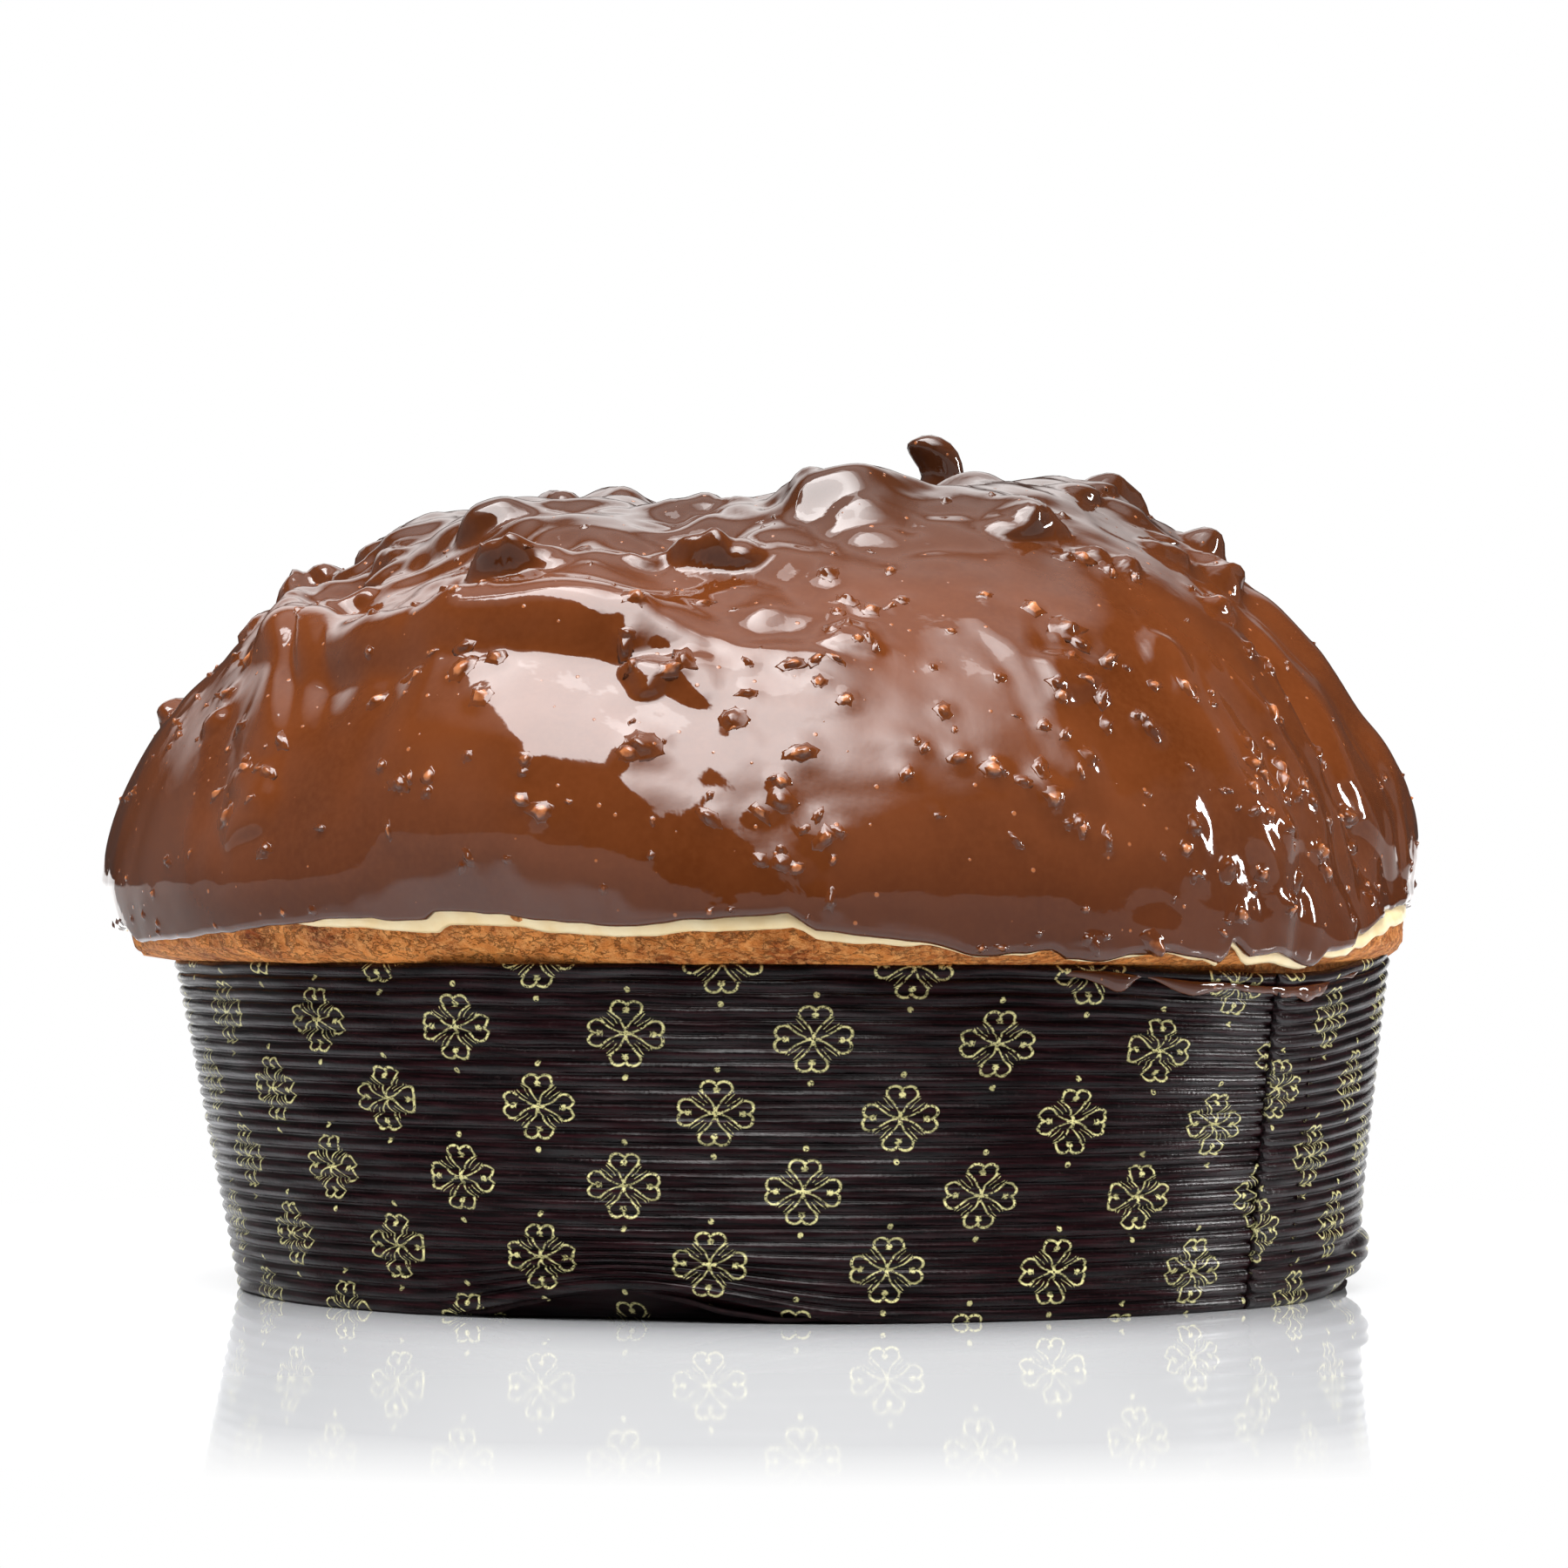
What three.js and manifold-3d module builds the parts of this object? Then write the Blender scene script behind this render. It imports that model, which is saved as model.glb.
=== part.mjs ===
// A low round panettone in its flared paper baking mould: the loaf domes over the rim, and it
// wears a thin white chocolate coat under a thick milk chocolate one with chopped hazelnuts.
// Millimetres, +Z up. The origin is the middle of the mould's underside, and the front is -Y.
import * as THREE from "three";
import { mergeVertices } from "three/addons/utils/BufferGeometryUtils.js";
import Module from "manifold-3d";

// ---- driving dimensions ----------------------------------------------------------------------

const GAP = 0.3;                    // air kept between neighbouring pieces
const SEGMENTS = 48;                // facets around every round piece

const MOULD_FOOT_RADIUS = 95.5;     // outside of the ribs, at the table
const MOULD_RIM_RADIUS = 104.5;     // outside of the ribs, at the rim
const MOULD_HEIGHT = 56;
const MOULD_LEAN = -2.4;            // sideways shift of the rim against the foot
const RIB_COUNT = 26;               // horizontal corrugations, foot to rim
const RIB_DEPTH = 0.6;
const PAPER_THICKNESS = 0.7;        // behind the ribs
const BASE_THICKNESS = 1;
const BASE_FLAT_RADIUS = 50;        // the base stays flat inside this radius

const LIFT_HEIGHT = 4.5;            // the foot arches off the table at the front left
const LIFT_AZIMUTH = -18;           // degrees, from the front towards +X
const LIFT_HALF_WIDTH = 17;         // degrees
const LIFT_FADE_HEIGHT = 24;        // the wall is straight again above this

const DOME_SHIFT = -5.75;           // sideways shift of the dome against the foot
const DOME_RADIUS = 113.3;          // outside of the milk chocolate, at its widest
const WAIST_HEIGHT = 72;            // where the dome is widest
const DOME_RISE = 66;               // from the widest part up to the crown
const DOME_DROP = 55;               // depth of the ellipse below the widest part
const DOME_SQUARENESS = 2.25;        // 2 is an ellipse, higher is flatter on top
const SWELL = 1.3;                  // height of the broad uneven waves of the crumb

const MILK_THICKNESS = 2.6;
const WHITE_THICKNESS = 0.8;
const HEM_HEIGHT = 62;              // mean height of the milk chocolate's lower edge
const CREAM_SHOWS = 1.2;            // how far the white chocolate hangs below the milk chocolate
const CRUST_FOOT_HEIGHT = 57;       // where the crust turns in over the rim

// Lumps of chocolate over whole nuts, on the crown: azimuth, angle from the crown, length, height.
const LUMPS = [
  [170, 8, 8, 9], [150, 20, 9, 5], [95, 30, 10, 5], [74, 38, 8, 4.5], [60, 22, 9, 5], [15, 16, 15, 5],
  [-30, 28, 9, 5], [-62, 34, 9, 5], [-100, 20, 12, 5], [-125, 30, 11, 5], [-78, 48, 7, 4], [-150, 18, 10, 5],
  [125, 36, 9, 5], [-170, 34, 10, 5], [-92, 63, 6, 4],
];

// Chopped hazelnut pieces that stand out of the glaze: azimuth, angle from the crown, length.
const FRONT_NUTS = [
  [-12, 55, 4.2], [-2, 72, 3.6], [3, 77, 4.4], [-4, 86, 3.4], [0, 85, 3.2], [5, 88, 3.4], [7, 44, 3.8], [9, 49, 3.4],
  [30, 56, 4.4], [33, 62, 4], [31, 68, 4.6], [35, 73, 3.8], [52, 70, 4], [58, 76, 4.2], [49, 80, 3.8], [63, 84, 4],
  [-46, 74, 3.6], [-54, 72, 3.4], [-24, 70, 3.4], [-62, 60, 3.6],
];
const BACK_NUT_COUNT = 14;

const PAPER_BROWN = "#2a1c1e";
const CRUST_BROWN = "#b9763c";
const WHITE_CHOCOLATE = "#f6e6c4";
const MILK_CHOCOLATE = "#6e3d22";
const HAZELNUT = "#b4672f";

// ---- helpers ---------------------------------------------------------------------------------

const radians = THREE.MathUtils.degToRad;
const smoothstep = THREE.MathUtils.smoothstep;

// Azimuth of a point about the upright axis, in degrees: 0 at the front, 90 at +X.
const azimuthOf = (point) => THREE.MathUtils.radToDeg(Math.atan2(point.x, -point.y));

function moveVertices(geometry, move) {
  const position = geometry.attributes.position;
  const point = new THREE.Vector3();
  for (let i = 0; i < position.count; i++) {
    point.fromBufferAttribute(position, i);
    move(point);
    position.setXYZ(i, point.x, point.y, point.z);
  }
  return geometry;
}

// A closed skin with shared vertices, its faces turned outwards.
function closedSkin(geometry) {
  geometry.deleteAttribute("normal");
  geometry.deleteAttribute("uv");
  const skin = mergeVertices(geometry, 1e-4);
  const position = skin.attributes.position;
  const [a, b, c] = [new THREE.Vector3(), new THREE.Vector3(), new THREE.Vector3()];
  let sixVolumes = 0;
  const faces = [];
  for (let i = 0; i < skin.index.count; i += 3) {
    const corners = [0, 1, 2].map((k) => skin.index.getX(i + k));
    if (new Set(corners).size < 3) continue;
    faces.push(corners);
    a.fromBufferAttribute(position, corners[0]);
    b.fromBufferAttribute(position, corners[1]);
    c.fromBufferAttribute(position, corners[2]);
    sixVolumes += a.dot(b.clone().cross(c));
  }
  if (sixVolumes < 0) faces.forEach((corners) => corners.reverse());
  skin.setIndex(faces.flat());
  return skin;
}

// A round piece turned from a profile of [radius, height] pairs, upright on +Z.
function turned(profile) {
  const points = profile.map(([radius, height]) => new THREE.Vector2(radius, height));
  return new THREE.LatheGeometry(points, SEGMENTS).rotateX(Math.PI / 2);
}

function piece(name, geometry, color, roughness) {
  geometry.computeVertexNormals();
  const mesh = new THREE.Mesh(geometry, new THREE.MeshStandardMaterial({ color, roughness, metalness: 0 }));
  mesh.name = name;
  return mesh;
}

// ---- paper mould -----------------------------------------------------------------------------

const mouldRadiusAt = (height) =>
  THREE.MathUtils.lerp(MOULD_FOOT_RADIUS, MOULD_RIM_RADIUS, height / MOULD_HEIGHT);

// The foot's arch, 1 in its middle and 0 outside its width.
function archAt(azimuth) {
  const across = Math.min(1, Math.abs(azimuth - LIFT_AZIMUTH) / LIFT_HALF_WIDTH);
  return 0.5 + 0.5 * Math.cos(Math.PI * across);
}

function leanAndLift(point) {
  const lift = LIFT_HEIGHT * archAt(azimuthOf(point));
  const nearFoot = 1 - smoothstep(point.z, 0, LIFT_FADE_HEIGHT);
  const nearWall = smoothstep(Math.hypot(point.x, point.y), BASE_FLAT_RADIUS, MOULD_FOOT_RADIUS);
  point.x += MOULD_LEAN * point.z / MOULD_HEIGHT;
  point.z += lift * nearFoot * nearWall;
}

function mouldWall() {
  const outside = [[MOULD_FOOT_RADIUS - RIB_DEPTH, 0]];
  for (let rib = 0; rib < RIB_COUNT; rib++) {
    const crest = (rib + 0.5) * MOULD_HEIGHT / RIB_COUNT;
    const groove = (rib + 1) * MOULD_HEIGHT / RIB_COUNT;
    outside.push([mouldRadiusAt(crest), crest]);
    outside.push([mouldRadiusAt(groove) - RIB_DEPTH, groove]);
  }
  const behindRibs = RIB_DEPTH + PAPER_THICKNESS;
  const inside = [];
  for (const height of [MOULD_HEIGHT, LIFT_FADE_HEIGHT, LIFT_FADE_HEIGHT / 2, 0]) {
    inside.push([mouldRadiusAt(height) - behindRibs, height]);
  }
  return moveVertices(turned([...outside, ...inside, outside[0]]), leanAndLift);
}

const baseEdge = MOULD_FOOT_RADIUS - RIB_DEPTH - PAPER_THICKNESS - GAP;
const baseSteps = [BASE_FLAT_RADIUS, (BASE_FLAT_RADIUS + baseEdge) / 2, baseEdge];

function mouldBase() {
  const topside = baseSteps.map((radius) => [radius, BASE_THICKNESS]);
  const underside = baseSteps.map((radius) => [radius, 0]).reverse();
  return moveVertices(turned([[0, BASE_THICKNESS], ...topside, ...underside, [0, 0]]), leanAndLift);
}

// ---- loaf and its two coats ------------------------------------------------------------------

// [radius, height] on the dome, an inset inside the milk chocolate's outside. The angle runs
// from 0 at the crown to 90 at the widest part.
function domePoint(angle, inset) {
  const power = 2 / DOME_SQUARENESS;
  const across = Math.sin(radians(angle)) ** power;
  const up = Math.max(0, Math.cos(radians(angle))) ** power;
  return [(DOME_RADIUS - inset) * across, WAIST_HEIGHT + (DOME_RISE - inset) * up];
}

function domeProfile(inset, steps) {
  return Array.from({ length: steps + 1 }, (_, i) => domePoint(90 * i / steps, inset));
}

// Below the widest part the loaf draws in like the underside of an ellipse.
const radiusShareAt = (height) => Math.sqrt(1 - ((WAIST_HEIGHT - height) / DOME_DROP) ** 2);
const belowWaist = (height, inset) => [(DOME_RADIUS - inset) * radiusShareAt(height), height];

// Broad waves of the risen crumb, which the coats follow.
function swellAt(point, azimuth) {
  const around = Math.sin(radians(3 * azimuth + 40)) + 0.6 * Math.sin(radians(5 * azimuth - 70));
  return SWELL * around * smoothstep(Math.hypot(point.x, point.y), 5, 60);
}

// Height of the milk chocolate's wavy lower edge, lowest at the front right.
function hemAt(azimuth) {
  const ripple = Math.sin(radians(4 * azimuth + 200)) + 0.5 * Math.sin(radians(9 * azimuth));
  const runs = 2 * Math.exp(-(((azimuth - 40) / 26) ** 2));
  return HEM_HEIGHT + ripple - runs;
}

function shiftDome(point) {
  const azimuth = azimuthOf(point);
  const onDome = smoothstep(point.z, MOULD_HEIGHT, WAIST_HEIGHT);
  const swell = swellAt(point, azimuth) * onDome;
  const flat = Math.hypot(point.x, point.y) || 1;
  point.x += swell * point.x / flat;
  point.y += swell * point.y / flat;
  point.x += THREE.MathUtils.lerp(MOULD_LEAN, DOME_SHIFT, onDome);
}

// Moves every point that was turned at the hem's own height onto the wavy hem, lowered by a
// drop, and onto the dome's curve there.
function waveHem(geometry, drop) {
  return moveVertices(geometry, (point) => {
    if (Math.abs(point.z - HEM_HEIGHT) > 1e-3) return;
    const height = hemAt(azimuthOf(point)) - drop;
    const narrowing = radiusShareAt(height) / radiusShareAt(HEM_HEIGHT);
    point.set(point.x * narrowing, point.y * narrowing, height);
  });
}

// A coat between two insets, whose last rings follow the hem, lowered by some drop.
function coat(outerInset, innerInset, outerSteps, innerSteps, drop) {
  const outer = domeProfile(outerInset, outerSteps);
  const inner = domeProfile(innerInset, innerSteps).reverse();
  const hem = [outerInset, innerInset].map((inset) => belowWaist(HEM_HEIGHT, inset));
  return moveVertices(waveHem(turned([...outer, ...hem, ...inner]), drop), shiftDome);
}

const COAT_STEPS = 10;
const whiteInset = MILK_THICKNESS + GAP;
const crumbInset = whiteInset + WHITE_THICKNESS + GAP;

function loaf() {
  const floor = BASE_THICKNESS + GAP;
  const behindWall = RIB_DEPTH + PAPER_THICKNESS + GAP;
  const sides = [floor, LIFT_FADE_HEIGHT / 2, LIFT_FADE_HEIGHT, MOULD_HEIGHT + GAP];
  const inMould = sides.map((height) => [mouldRadiusAt(Math.min(height, MOULD_HEIGHT)) - behindWall, height]);
  const crust = [CRUST_FOOT_HEIGHT, HEM_HEIGHT].map((height) => belowWaist(height, crumbInset));
  const dome = domeProfile(crumbInset, COAT_STEPS).reverse();
  const bottom = [[0, floor], ...baseSteps.slice(0, -1).map((radius) => [radius, floor])];
  const shape = waveHem(turned([...bottom, ...inMould, ...crust, ...dome]), CREAM_SHOWS);
  return moveVertices(shape, (point) => {
    if (point.z <= MOULD_HEIGHT + GAP) leanAndLift(point);
    else shiftDome(point);
  });
}

// ---- lumps and nuts --------------------------------------------------------------------------

const KNOB_WIDTH_SHARE = 0.75;      // of its length
const NUT_FLATNESS = 0.7;           // thickness over length
const NUT_SINK = 0.5;               // share of a nut's thickness that sits in the glaze
const LUMP_SINK = 0.45;             // share of a lump's height that sits in the glaze, at most
const GOLDEN_ANGLE = 137.5;         // degrees, spreads the nuts on the back evenly

// A point on the milk chocolate's outside and the direction straight out of it.
function spotOnDome(azimuth, angle) {
  const place = (degrees) => {
    const [radius, height] = domePoint(degrees, 0);
    const turn = radians(azimuth);
    const point = new THREE.Vector3(radius * Math.sin(turn), -radius * Math.cos(turn), height);
    shiftDome(point);
    return point;
  };
  const point = place(angle);
  const downhill = place(angle + 1).sub(place(angle - 1));
  const sideways = new THREE.Vector3(Math.cos(radians(azimuth)), Math.sin(radians(azimuth)), 0);
  return { point, outwards: downhill.cross(sideways).normalize() };
}

// A rounded knob, longest along its own X and lowest along its own Z, set on the dome. Each
// knob is turned in its place by a different angle, and growth widens it on every side.
function knobOnDome(azimuth, angle, length, thickness, sink, detail, growth = 0) {
  const { point, outwards } = spotOnDome(azimuth, angle);
  const size = [length, KNOB_WIDTH_SHARE * length, thickness].map((extent) => extent / 2 + growth);
  const up = new THREE.Vector3(0, 0, 1);
  const spin = new THREE.Quaternion().setFromAxisAngle(up, radians(7 * azimuth + 11 * angle));
  const turn = new THREE.Quaternion().setFromUnitVectors(up, outwards).multiply(spin);
  const place = point.addScaledVector(outwards, thickness / 2 - sink);
  const matrix = new THREE.Matrix4().compose(place, turn, new THREE.Vector3(...size));
  return { shape: new THREE.IcosahedronGeometry(1, detail), matrix };
}

function nutPlaces() {
  const behind = Array.from({ length: BACK_NUT_COUNT }, (_, i) => {
    const azimuth = 95 + (i * GOLDEN_ANGLE) % 170;
    return [azimuth, 38 + (i * 23) % 50, 3.4 + 0.3 * (i % 4)];
  });
  return [...FRONT_NUTS, ...behind];
}

function nutOnDome([azimuth, angle, length], growth = 0) {
  const thickness = NUT_FLATNESS * length;
  return knobOnDome(azimuth, angle, length, thickness, NUT_SINK * thickness, 0, growth);
}

// ---- glaze run down on the paper -------------------------------------------------------------

const SPILL_FROM = 28;              // degrees
const SPILL_TO = 61;
const SPILL_TOP = MOULD_HEIGHT - 0.4;
const SPILL_THICKNESS = 1.1;

// The faceted wall's radius at an azimuth between two of its corners.
function facetRadius(radius, azimuth) {
  const step = 360 / SEGMENTS;
  const fromMiddle = ((azimuth % step) + step) % step - step / 2;
  return radius * Math.cos(radians(step / 2)) / Math.cos(radians(fromMiddle));
}

function glazeSpill() {
  const span = SPILL_TO - SPILL_FROM;
  const strip = new THREE.BoxGeometry(span, SPILL_THICKNESS, 1, 22, 1, 2);
  return moveVertices(strip, (point) => {
    const along = point.x / span + 0.5;
    const azimuth = SPILL_FROM + span * along;
    const drips = 2 + 1.1 * Math.sin(radians(760 * along)) + 0.6 * Math.sin(radians(1500 * along + 50));
    const depth = 0.6 + drips * Math.sin(Math.PI * Math.min(1, 4 * along, 4 * (1 - along)) / 2);
    const height = SPILL_TOP - depth * (0.5 - point.z);
    const clear = GAP + SPILL_THICKNESS / 2 + point.y;
    const radius = facetRadius(mouldRadiusAt(height), azimuth) + clear;
    point.set(radius * Math.sin(radians(azimuth)), -radius * Math.cos(radians(azimuth)), height);
    leanAndLift(point);
  });
}

// ---- solids ----------------------------------------------------------------------------------

const wasm = await Module();
wasm.setup();

function solid(geometry) {
  const skin = closedSkin(geometry.clone());
  return new wasm.Manifold(new wasm.Mesh({
    numProp: 3,
    vertProperties: new Float32Array(skin.attributes.position.array),
    triVerts: new Uint32Array(skin.index.array),
  }));
}

function geometryOf(manifold) {
  const mesh = manifold.getMesh();
  const geometry = new THREE.BufferGeometry();
  geometry.setAttribute("position", new THREE.BufferAttribute(mesh.vertProperties, 3));
  geometry.setIndex(Array.from(mesh.triVerts));
  return geometry;
}

function milkCoat(nuts) {
  let coated = solid(coat(0, MILK_THICKNESS, 2 * COAT_STEPS, COAT_STEPS, 0));
  for (const [azimuth, angle, length, height] of LUMPS) {
    const sink = Math.min(LUMP_SINK * height, 0.7 * MILK_THICKNESS);
    const lump = knobOnDome(azimuth, angle, length, height, sink, 1);
    coated = coated.add(solid(lump.shape.applyMatrix4(lump.matrix)));
  }
  for (const nut of nuts) {
    const pocket = nutOnDome(nut, GAP);
    coated = coated.subtract(solid(pocket.shape.applyMatrix4(pocket.matrix)));
  }
  return geometryOf(coated);
}

// ---- assembly --------------------------------------------------------------------------------

const panettone = new THREE.Group();
const nuts = nutPlaces();

panettone.add(piece("mould_base", closedSkin(mouldBase()), PAPER_BROWN, 0.7));
panettone.add(piece("mould_wall", closedSkin(mouldWall()), PAPER_BROWN, 0.6));
panettone.add(piece("loaf", closedSkin(loaf()), CRUST_BROWN, 0.8));
const whiteCoat = coat(whiteInset, whiteInset + WHITE_THICKNESS, COAT_STEPS, COAT_STEPS, CREAM_SHOWS);
panettone.add(piece("white_chocolate_coat", closedSkin(whiteCoat), WHITE_CHOCOLATE, 0.45));
panettone.add(piece("milk_chocolate_coat", milkCoat(nuts), MILK_CHOCOLATE, 0.15));
panettone.add(piece("glaze_spill", closedSkin(glazeSpill()), MILK_CHOCOLATE, 0.15));

nuts.forEach((nut, i) => {
  const { shape, matrix } = nutOnDome(nut);
  const mesh = piece(`hazelnut_${String(i + 1).padStart(2, "0")}`, closedSkin(shape), HAZELNUT, 0.5);
  matrix.decompose(mesh.position, mesh.quaternion, mesh.scale);
  panettone.add(mesh);
});

export default panettone;
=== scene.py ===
"""A low round panettone in its paper baking mould, glazed with white and milk chocolate.

Lengths are in millimetres until a piece is finished, and angles are in degrees. Around runs
about the upright axis, 0 at the front (-Y) and 90 at +X. Down runs from the crown, 0, through
the widest part of the dome, 90, and on below it.
"""
import bisect
import math
import random

import bmesh
import bpy
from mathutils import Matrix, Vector, noise
from mathutils.bvhtree import BVHTree
from mathutils.kdtree import KDTree


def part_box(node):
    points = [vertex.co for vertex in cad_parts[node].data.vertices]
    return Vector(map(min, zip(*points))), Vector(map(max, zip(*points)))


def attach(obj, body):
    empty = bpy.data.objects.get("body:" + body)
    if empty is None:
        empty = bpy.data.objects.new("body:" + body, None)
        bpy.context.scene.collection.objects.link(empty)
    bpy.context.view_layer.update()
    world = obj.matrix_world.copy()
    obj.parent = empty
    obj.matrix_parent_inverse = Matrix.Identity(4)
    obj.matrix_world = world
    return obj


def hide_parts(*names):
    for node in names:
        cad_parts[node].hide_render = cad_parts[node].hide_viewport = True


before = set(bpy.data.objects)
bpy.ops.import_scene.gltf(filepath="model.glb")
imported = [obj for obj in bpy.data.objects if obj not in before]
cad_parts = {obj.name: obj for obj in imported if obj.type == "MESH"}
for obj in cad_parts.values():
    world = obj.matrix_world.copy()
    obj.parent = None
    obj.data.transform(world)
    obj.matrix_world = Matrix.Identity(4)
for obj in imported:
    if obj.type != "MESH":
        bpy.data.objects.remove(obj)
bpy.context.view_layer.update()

MM = 0.001

# ---- the mould's and the dome's own sizes ----

FOOT_RADIUS = 95.5
RIM_RADIUS = 104.5
MOULD_HEIGHT = 56.0
MOULD_LEAN = -2.4          # the rim's sideways shift against the foot
RIB_COUNT = 26
RIB_DEPTH = 0.75
PAPER_THICKNESS = 0.6

ARCH_HEIGHT = 4.5          # the foot's arch at the front left
ARCH_AROUND = -18.0
ARCH_HALF_WIDTH = 17.0
ARCH_FADE = 24.0

DOME_SHIFT = -5.75         # the dome's sideways shift against the foot
DOME_RADIUS = 113.3
CROWN_HEIGHT = 137.0
DOME_DROP = 55.0
DOME_SQUARENESS = 2.1

MILK_THICKNESS = 2.4
WHITE_INSET = 2.7
WHITE_THICKNESS = 0.9
CRUMB_INSET = 3.8


# ---- small helpers ----

def smoothstep(value, low, high):
    share = min(1.0, max(0.0, (value - low) / (high - low)))
    return share * share * (3 - 2 * share)


def bell(value, middle, width):
    return math.exp(-((value - middle) / width) ** 2)


def turn_between(angle, middle):
    """The signed angle from the middle, within half a turn."""
    return (angle - middle + 180) % 360 - 180


def near(around, middle, width):
    """1 at one angle around, fading out over the width on both sides of it."""
    return bell(turn_between(around, middle), 0, width)


def bump_noise(point, size, seed=0):
    """Smooth noise from -1 to 1 with waves of about the given size."""
    return noise.noise(point / size + Vector((seed * 17.3, seed * 5.1, seed * 9.7)))


def polar(around, radius, height, shift=0.0):
    turn = math.radians(around)
    return Vector((shift + radius * math.sin(turn), -radius * math.cos(turn), height))


def along_outline(outline, place, turns=True):
    """The value at a place on (place, value) points, which close after a full turn or end flat."""
    if turns:
        place = (place - outline[0][0]) % 360 + outline[0][0]
    after = bisect.bisect_right(outline, (place,))
    if after == 0:
        return outline[0][1]
    start, low = outline[after - 1]
    if after < len(outline):
        stop, high = outline[after]
    elif turns:
        stop, high = outline[0][0] + 360, outline[0][1]
    else:
        return low
    return low + (high - low) * smoothstep(place, start, stop)


def close_ends(bm):
    """Fills what is open in a mesh and turns all its faces the same way."""
    ends = [edge for edge in bm.edges if edge.is_boundary]
    if ends:
        bmesh.ops.holes_fill(bm, edges=ends)
    bmesh.ops.recalc_face_normals(bm, faces=bm.faces)


def new_object(name, data):
    made = bpy.data.objects.new(name, data)
    bpy.context.scene.collection.objects.link(made)
    return made


def mesh_object(bm, name, material):
    mesh = bpy.data.meshes.new(name)
    bm.to_mesh(mesh)
    bm.free()
    mesh.materials.append(material)
    return new_object(name, mesh)


def finish_piece(bm, name, material, replaced):
    """Makes the object from its mesh in millimetres, outside out, and rides it on the one body."""
    if bm.calc_volume(signed=True) < 0:
        bmesh.ops.reverse_faces(bm, faces=bm.faces)
    bmesh.ops.scale(bm, verts=bm.verts, vec=(MM, MM, MM))
    for face in bm.faces:
        face.smooth = True
    piece = mesh_object(bm, name, material)
    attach(piece, "root")
    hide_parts(*replaced)


# ---- shader helpers ----

def set_inputs(tree, node, inputs):
    """Sets a node's inputs, each to a plain value, a Field or another node's output."""
    for key, value in inputs.items():
        if isinstance(value, Field):
            value = value.socket
        if isinstance(value, bpy.types.NodeSocket):
            tree.links.new(value, node.inputs[key])
        else:
            node.inputs[key].default_value = value


def add_node(tree, kind, inputs, **settings):
    made = tree.nodes.new("ShaderNode" + kind)
    for key, value in settings.items():
        setattr(made, key, value)
    set_inputs(tree, made, inputs)
    return made


class Field:
    """A number that varies over the surface, put together from Math nodes by arithmetic."""

    def __init__(self, tree, socket):
        self.tree = tree
        self.socket = socket

    def math(self, operation, *others, clamp=False):
        values = dict(enumerate((self, *others)))
        made = add_node(self.tree, "Math", values, operation=operation, use_clamp=clamp)
        return Field(self.tree, made.outputs[0])

    def __add__(self, other):
        return self.math("ADD", other)

    def __sub__(self, other):
        return self.math("SUBTRACT", other)

    def __mul__(self, other):
        return self.math("MULTIPLY", other)

    def __truediv__(self, other):
        return self.math("DIVIDE", other)

    def __abs__(self):
        return self.math("ABSOLUTE")

    def least(self, other):
        return self.math("MINIMUM", other)

    def most(self, other):
        return self.math("MAXIMUM", other)

    def squared(self):
        return self * self

    def root(self):
        return self.math("SQRT")

    def inside(self, softness):
        """1 where the field is below zero, 0 above, with a soft edge."""
        return (self * (-1 / softness) + 0.5).math("ADD", 0.0, clamp=True)

    def ramp(self, low, high):
        """0 at low and 1 at high, held at both ends."""
        return ((self - low) * (1 / (high - low))).math("ADD", 0.0, clamp=True)


def distance(x, y, at_x, at_y):
    """How far the point of two fields is from a fixed point."""
    return ((x - at_x).squared() + (y - at_y).squared()).root()


def noise_field(tree, vector, scale, detail=3.0, roughness=0.5, stretch=(1, 1, 1)):
    placed = add_node(tree, "Mapping", {"Vector": vector, "Scale": stretch})
    made = add_node(tree, "TexNoise", {"Vector": placed.outputs[0], "Scale": scale, "Detail": detail,
                                       "Roughness": roughness})
    return Field(tree, made.outputs[0])


def paint(tree, colour, *coats):
    """Lays coats over a colour in turn, each a share from 0 to 1 and the coat's own colour."""
    for coat in coats:
        under, over = ((*shade, 1) if isinstance(shade, tuple) else shade
                       for shade in (colour, coat[1]))
        made = add_node(tree, "Mix", {0: coat[0], 6: under, 7: over}, data_type="RGBA")
        colour = made.outputs[2]
    return colour


def bump(tree, height, distance_mm):
    inputs = {"Height": height, "Distance": distance_mm * MM, "Strength": 1.0}
    return add_node(tree, "Bump", inputs).outputs[0]


def split(tree, vector):
    """The three parts of a vector, as fields."""
    parts = add_node(tree, "SeparateXYZ", {0: vector})
    return [Field(tree, part) for part in parts.outputs]


def new_material(name):
    """Returns a material, its node tree, its shader and the place on the object."""
    material = bpy.data.materials.new(name)
    material.use_nodes = True
    tree = material.node_tree
    place = add_node(tree, "TexCoord", {}).outputs["Object"]
    return material, tree, tree.nodes["Principled BSDF"], place


def camera_ray(tree):
    """1 for what the camera sees directly, and 0 for reflections and all other light."""
    return Field(tree, add_node(tree, "LightPath", {}).outputs["Is Camera Ray"])


# ---- finishes ----

MILK_DARK = (0.077, 0.018, 0.0037)
MILK_LIGHT = (0.122, 0.031, 0.0078)
MILK_CLOUDED = (0.135, 0.04, 0.012)
# Painted shade: the glaze is darkened on the crown, which takes less light than the front.
MILK_CROWN_PAINTED_SHADE = (0.036, 0.0127, 0.006)
# Painted shade: the glaze is darkened towards the hem, whose lower faces take less light.
MILK_HEM_PAINTED_SHADE = (0.055, 0.011, 0.0015)
CRUMB_TAN = (0.36, 0.12, 0.042)
CROWN_PAINTED_SHADE_SPAN = (0.114, 0.132)      # metres up, from where and to where
HEM_PAINTED_SHADE_SPAN = (0.074, 0.064)
GLAZE_ROUGHNESS = 0.045


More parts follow.
